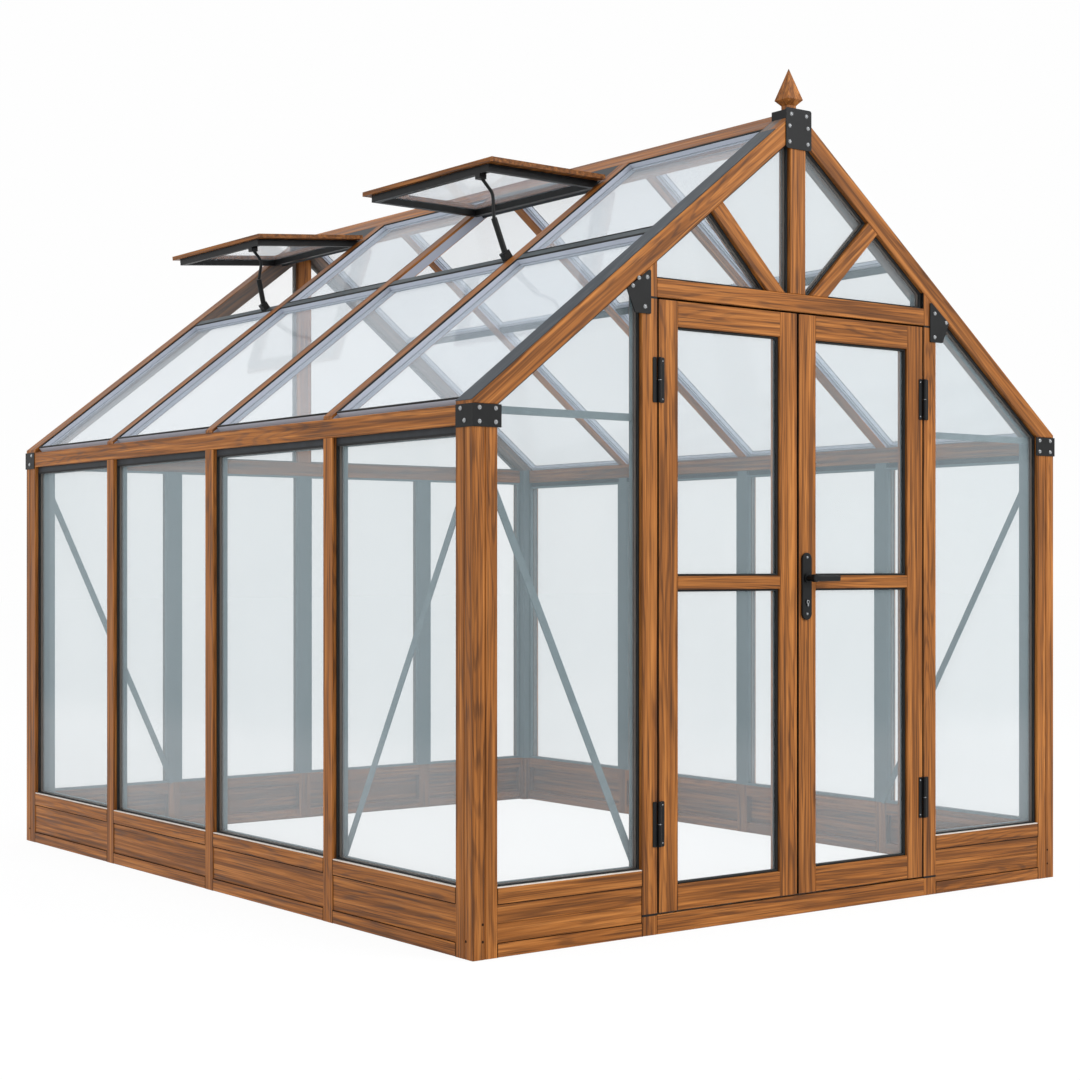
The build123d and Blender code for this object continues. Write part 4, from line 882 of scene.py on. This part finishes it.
# The key slot is a black disc of painted shade.
KEYHOLE_SHADE = [(3.6, 0.2, 0), (3.6, 0.5, 0), (0.0, 0.5, 0)]
TAIL_ENDS = (4.0 * MM, 14.0 * MM)             # below the middle of the lock
TAIL_WIDTH = 6.0 * MM
TAIL_RISE = 0.8 * MM
plate_low, plate_high = (np.array(v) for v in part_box("door_handle_plates"))
plate_x = (plate_low[0] + plate_high[0]) / 2
for end, collar, normal in (("outside", plate_low[1], (0, -1, 0)), ("inside", plate_high[1], (0, 1, 0))):
    plate_face = collar - normal[1] * COLLAR_RISE
    heights = (plate_high[2] - HANDLE_SCREW_TOP, plate_low[2] + HANDLE_SCREW_FOOT)
    places = [(plate_x, plate_face, z) for z in heights]
    screws(f"handle_screws_{end}", places, normal, "right_door", radius=HANDLE_SCREW)
    centre = [(plate_x, collar, LOCK_Z)]
    cylinder, keyhole_shade = (np.array(part) * (MM, MM, 1) for part in (CYLINDER, KEYHOLE_SHADE))
    disc, slot = (turned(centre, normal, part, LOCK_SIDES) for part in (cylinder, keyhole_shade))
    piece(f"lock_cylinder_{end}", disc, stainless, "right_door")
    # The black disc is painted shade of the key slot.
    piece(f"keyhole_{end}", slot, rubber, "right_door")
    top, foot = (np.array([plate_x, collar, LOCK_Z - drop]) for drop in TAIL_ENDS)
    tail = strips([(top, foot, normal)], TAIL_WIDTH, TAIL_RISE)
    piece(f"lock_tail_{end}", tail, stainless, "right_door")

# %% [markdown]
# Between the boards of the base run narrow shadow gaps, and along the top of its upper rails, under the
# glass, runs a pale line of light. Gaps cut into the boards would need the solids changed, so each gap is a
# thin strip of a dull near-black brown that lies on the joint, its colour painted shade. The pale line is a
# painted highlight: a wider strip, pale and a little glossy, on top of each upper rail.

# %% Seams of painted shade, and a painted highlight on the rails
# Painted shade for the gaps: a near-black brown, mottled a little.
shadow_gap, tree, shader = new_material("shadow_gap")
point = add(tree, "ShaderNodeTexCoord").outputs["Object"]
mottle = add(tree, "ShaderNodeTexNoise", {"Vector": point, "Scale": 35.0, "Detail": 2.0}).outputs[0]
shade = add(tree, "ShaderNodeValToRGB", {"Fac": mottle}, stops=((0.0, "#140b05"), (1.0, "#3a2414")))
fill(shader, {"Base Color": shade.outputs[0], "Roughness": 0.9, "Specular IOR Level": 0.1})

# The painted highlight along the top of the upper rails: pale and a little glossy.
sill_highlight, tree, shader = new_material("painted_sill_highlight")
point = add(tree, "ShaderNodeTexCoord").outputs["Object"]
highlight_mottle = add(tree, "ShaderNodeTexNoise", {"Vector": point, "Scale": 20.0, "Detail": 3.0}).outputs[0]
pale = add(tree, "ShaderNodeValToRGB", {"Fac": highlight_mottle}, stops=((0.0, "#cfc3b6"), (1.0, "#f2ece6")))
fill(shader, {"Base Color": pale.outputs[0], "Roughness": 0.35})

SEAM_WIDTH = 2.4 * MM
SEAM_RISE = 0.3 * MM
HIGHLIGHT_WIDTH = 10.0 * MM
HIGHLIGHT_RISE = 2.4 * MM
HIGHLIGHT_INSET = 1.5 * MM                      # from the face of the rail to the edge of the painted highlight
BASE_MIDDLE = 0.1                             # the upper rails start above this height
UP = np.array([0.0, 0.0, 1.0])
seams, highlight_lines = [], []
for node in ("base_side_rails", "base_end_rails", "base_side_panels", "base_end_panels"):
    for part in solids(node):
        low, high = part.min(axis=0), part.max(axis=0)
        normal = wall_side((low + high) / 2)
        across = np.abs(normal)
        length = np.array([across[1], across[0], 0.0])
        face = np.where(normal > 0, high, low) * across
        first, last = low * length, high * length
        for end in (first, last):
            seams.append((face + end + UP * low[2], face + end + UP * high[2], normal))
        if node.endswith("rails"):
            upper = low[2] > BASE_MIDDLE
            edge = UP * (low[2] if upper else high[2])
            seams.append((face + first + edge, face + last + edge, normal))
            if upper:
                inset = face - normal * (HIGHLIGHT_INSET + HIGHLIGHT_WIDTH / 2) + UP * high[2]
                highlight_lines.append((inset + first, inset + last, UP))
piece("base_seams", strips(seams, SEAM_WIDTH, SEAM_RISE), shadow_gap, "frame")
piece("base_painted_highlight", strips(highlight_lines, HIGHLIGHT_WIDTH, HIGHLIGHT_RISE), sill_highlight, "frame")
print("seams", len(seams), "sealant lines", len(highlight_lines))

# %% [markdown]
# The corner blocks of the base are pinned, and the holes of the pins read as small dark discs at this size.
# So each is a low turned button, whose dark colour is painted shade of the hole.

# %% Painted shade of the pin holes
HOLE_RADIUS = 4.0 * MM
HOLE_INSET = 35.0 * MM                        # from the corner of the building
HOLE_SHADE_RISE = 0.5 * MM
SIDE_HOLE_Z = 52.0 * MM
END_HOLE_Z = (52.0 * MM, 102.0 * MM)
HOLE_SIDES = 16
hole_shade_profile = [
    (HOLE_RADIUS, -0.2 * MM, 0), (HOLE_RADIUS, 0.3 * MM, 0), (HOLE_RADIUS * 0.8, HOLE_SHADE_RISE, 0),
    (0.0, HOLE_SHADE_RISE, 0),
]
# Each button is dark with the painted shade of a pin hole.
for s, side in ((-1, "left"), (1, "right")):
    places = [(s * WIDTH / 2, e * (LENGTH / 2 - HOLE_INSET), SIDE_HOLE_Z) for e in (-1, 1)]
    hole_shades = turned(places, (s, 0, 0), hole_shade_profile, HOLE_SIDES)
    piece(f"{side}_plugs", hole_shades, shadow_gap, "frame")
for e, end in ((-1, "front"), (1, "back")):
    places = [(s * (WIDTH / 2 - HOLE_INSET), e * LENGTH / 2, z) for s in (-1, 1) for z in END_HOLE_Z]
    hole_shades = turned(places, (0, e, 0), hole_shade_profile, HOLE_SIDES)
    piece(f"{end}_plugs", hole_shades, shadow_gap, "frame")

# %% [markdown]
# The building stands on a plain pale floor under a white sky. More light would turn both white, but it
# would bleach the timber too. So the camera, mirrors and glass see a white that the timber is not lit by,
# and the rest of the rays meet a floor and a sky of plain strength. A tenth of the real floor is left in
# that white, so that it keeps the shadow of the building.

# %% Floor and world
WHITE = linear("#fefefe")
FLOOR_REACH = 60.0
FLOOR_DROP = 1.0 * MM                         # the floor lies that far under the base
FLOOR_WHITE = 0.90                            # share of the plain white in what the camera sees
FLOOR_GLOW = 1.035                            # makes up for the duller tenth, so that no horizon shows
SKY_LIGHT = 0.72


def ray_share(tree, lit):
    """One for camera, mirror and see-through rays, and the value lit for the rest."""
    path = add(tree, "ShaderNodeLightPath").outputs
    seen = path["Is Camera Ray"]
    for kind in ("Is Glossy Ray", "Is Transmission Ray"):
        seen = add(tree, "ShaderNodeMath", {0: seen, 1: path[kind]}, operation="MAXIMUM").outputs[0]
    return add(tree, "ShaderNodeMapRange", {"Value": seen, 3: lit, 4: 1.0}).outputs[0]


corner = np.array([[-1, -1], [1, -1], [1, 1], [-1, 1]]) * FLOOR_REACH
floor_data = bpy.data.meshes.new("floor")
floor_data.from_pydata([(float(x), float(y), -FLOOR_DROP) for x, y in corner], [], [(0, 1, 2, 3)])
floor = bpy.data.objects.new("floor", floor_data)
bpy.context.collection.objects.link(floor)
pale_floor, tree, shader = new_material("pale_floor")
fill(shader, {"Base Color": linear("#f4f6f7"), "Roughness": 0.9, "Specular IOR Level": 0.0})
glow = add(tree, "ShaderNodeEmission", {"Color": WHITE, "Strength": FLOOR_GLOW})
share = {0: ray_share(tree, 0.0), 1: FLOOR_WHITE}
share = add(tree, "ShaderNodeMath", share, operation="MULTIPLY").outputs[0]
seen_floor = add(tree, "ShaderNodeMixShader", {"Fac": share, 1: shader.outputs[0], 2: glow.outputs[0]})
fill(tree.nodes["Material Output"], {0: seen_floor.outputs[0]})
floor_data.materials.append(pale_floor)

world = bpy.data.worlds.new("studio")
bpy.context.scene.world = world
world.use_nodes = True
sky = world.node_tree
sky.nodes.clear()
sky_glow = add(sky, "ShaderNodeBackground", {"Color": WHITE, "Strength": ray_share(sky, SKY_LIGHT)})
add(sky, "ShaderNodeOutputWorld", {0: sky_glow.outputs[0]})
print("floor reach", FLOOR_REACH, "m, sky light", SKY_LIGHT)

# %% [markdown]
# Even light from all round leaves the building flat. A broad soft lamp in front of the right corner makes
# the gable a little brighter than the side wall, and a weaker one on the left opens the shade along the
# side. The Standard view keeps each colour as it is written.

# %% Lamps
LAMP_SIZE = 5.0
LAMP_TARGET = (0.0, 0.0, 1.0)
LAMPS = {"key": ((3.0, -8.0, 6.0), 420.0), "side": ((-8.0, 1.0, 5.0), 160.0)}      # place and watts
for name, (place, power) in LAMPS.items():
    lamp_data = bpy.data.lights.new(name, "AREA")
    lamp_data.size = LAMP_SIZE
    lamp_data.energy = power
    lamp = bpy.data.objects.new(name, lamp_data)
    look = np.array(LAMP_TARGET) - np.array(place)
    look /= np.linalg.norm(look)
    lamp.location = place
    lamp.rotation_euler = (math.acos(-look[2]), 0.0, math.atan2(look[0], -look[1]) + math.pi)
    bpy.context.collection.objects.link(lamp)
    print(name, "lamp", power, "W at", place)
bpy.context.scene.view_settings.view_transform = "Standard"
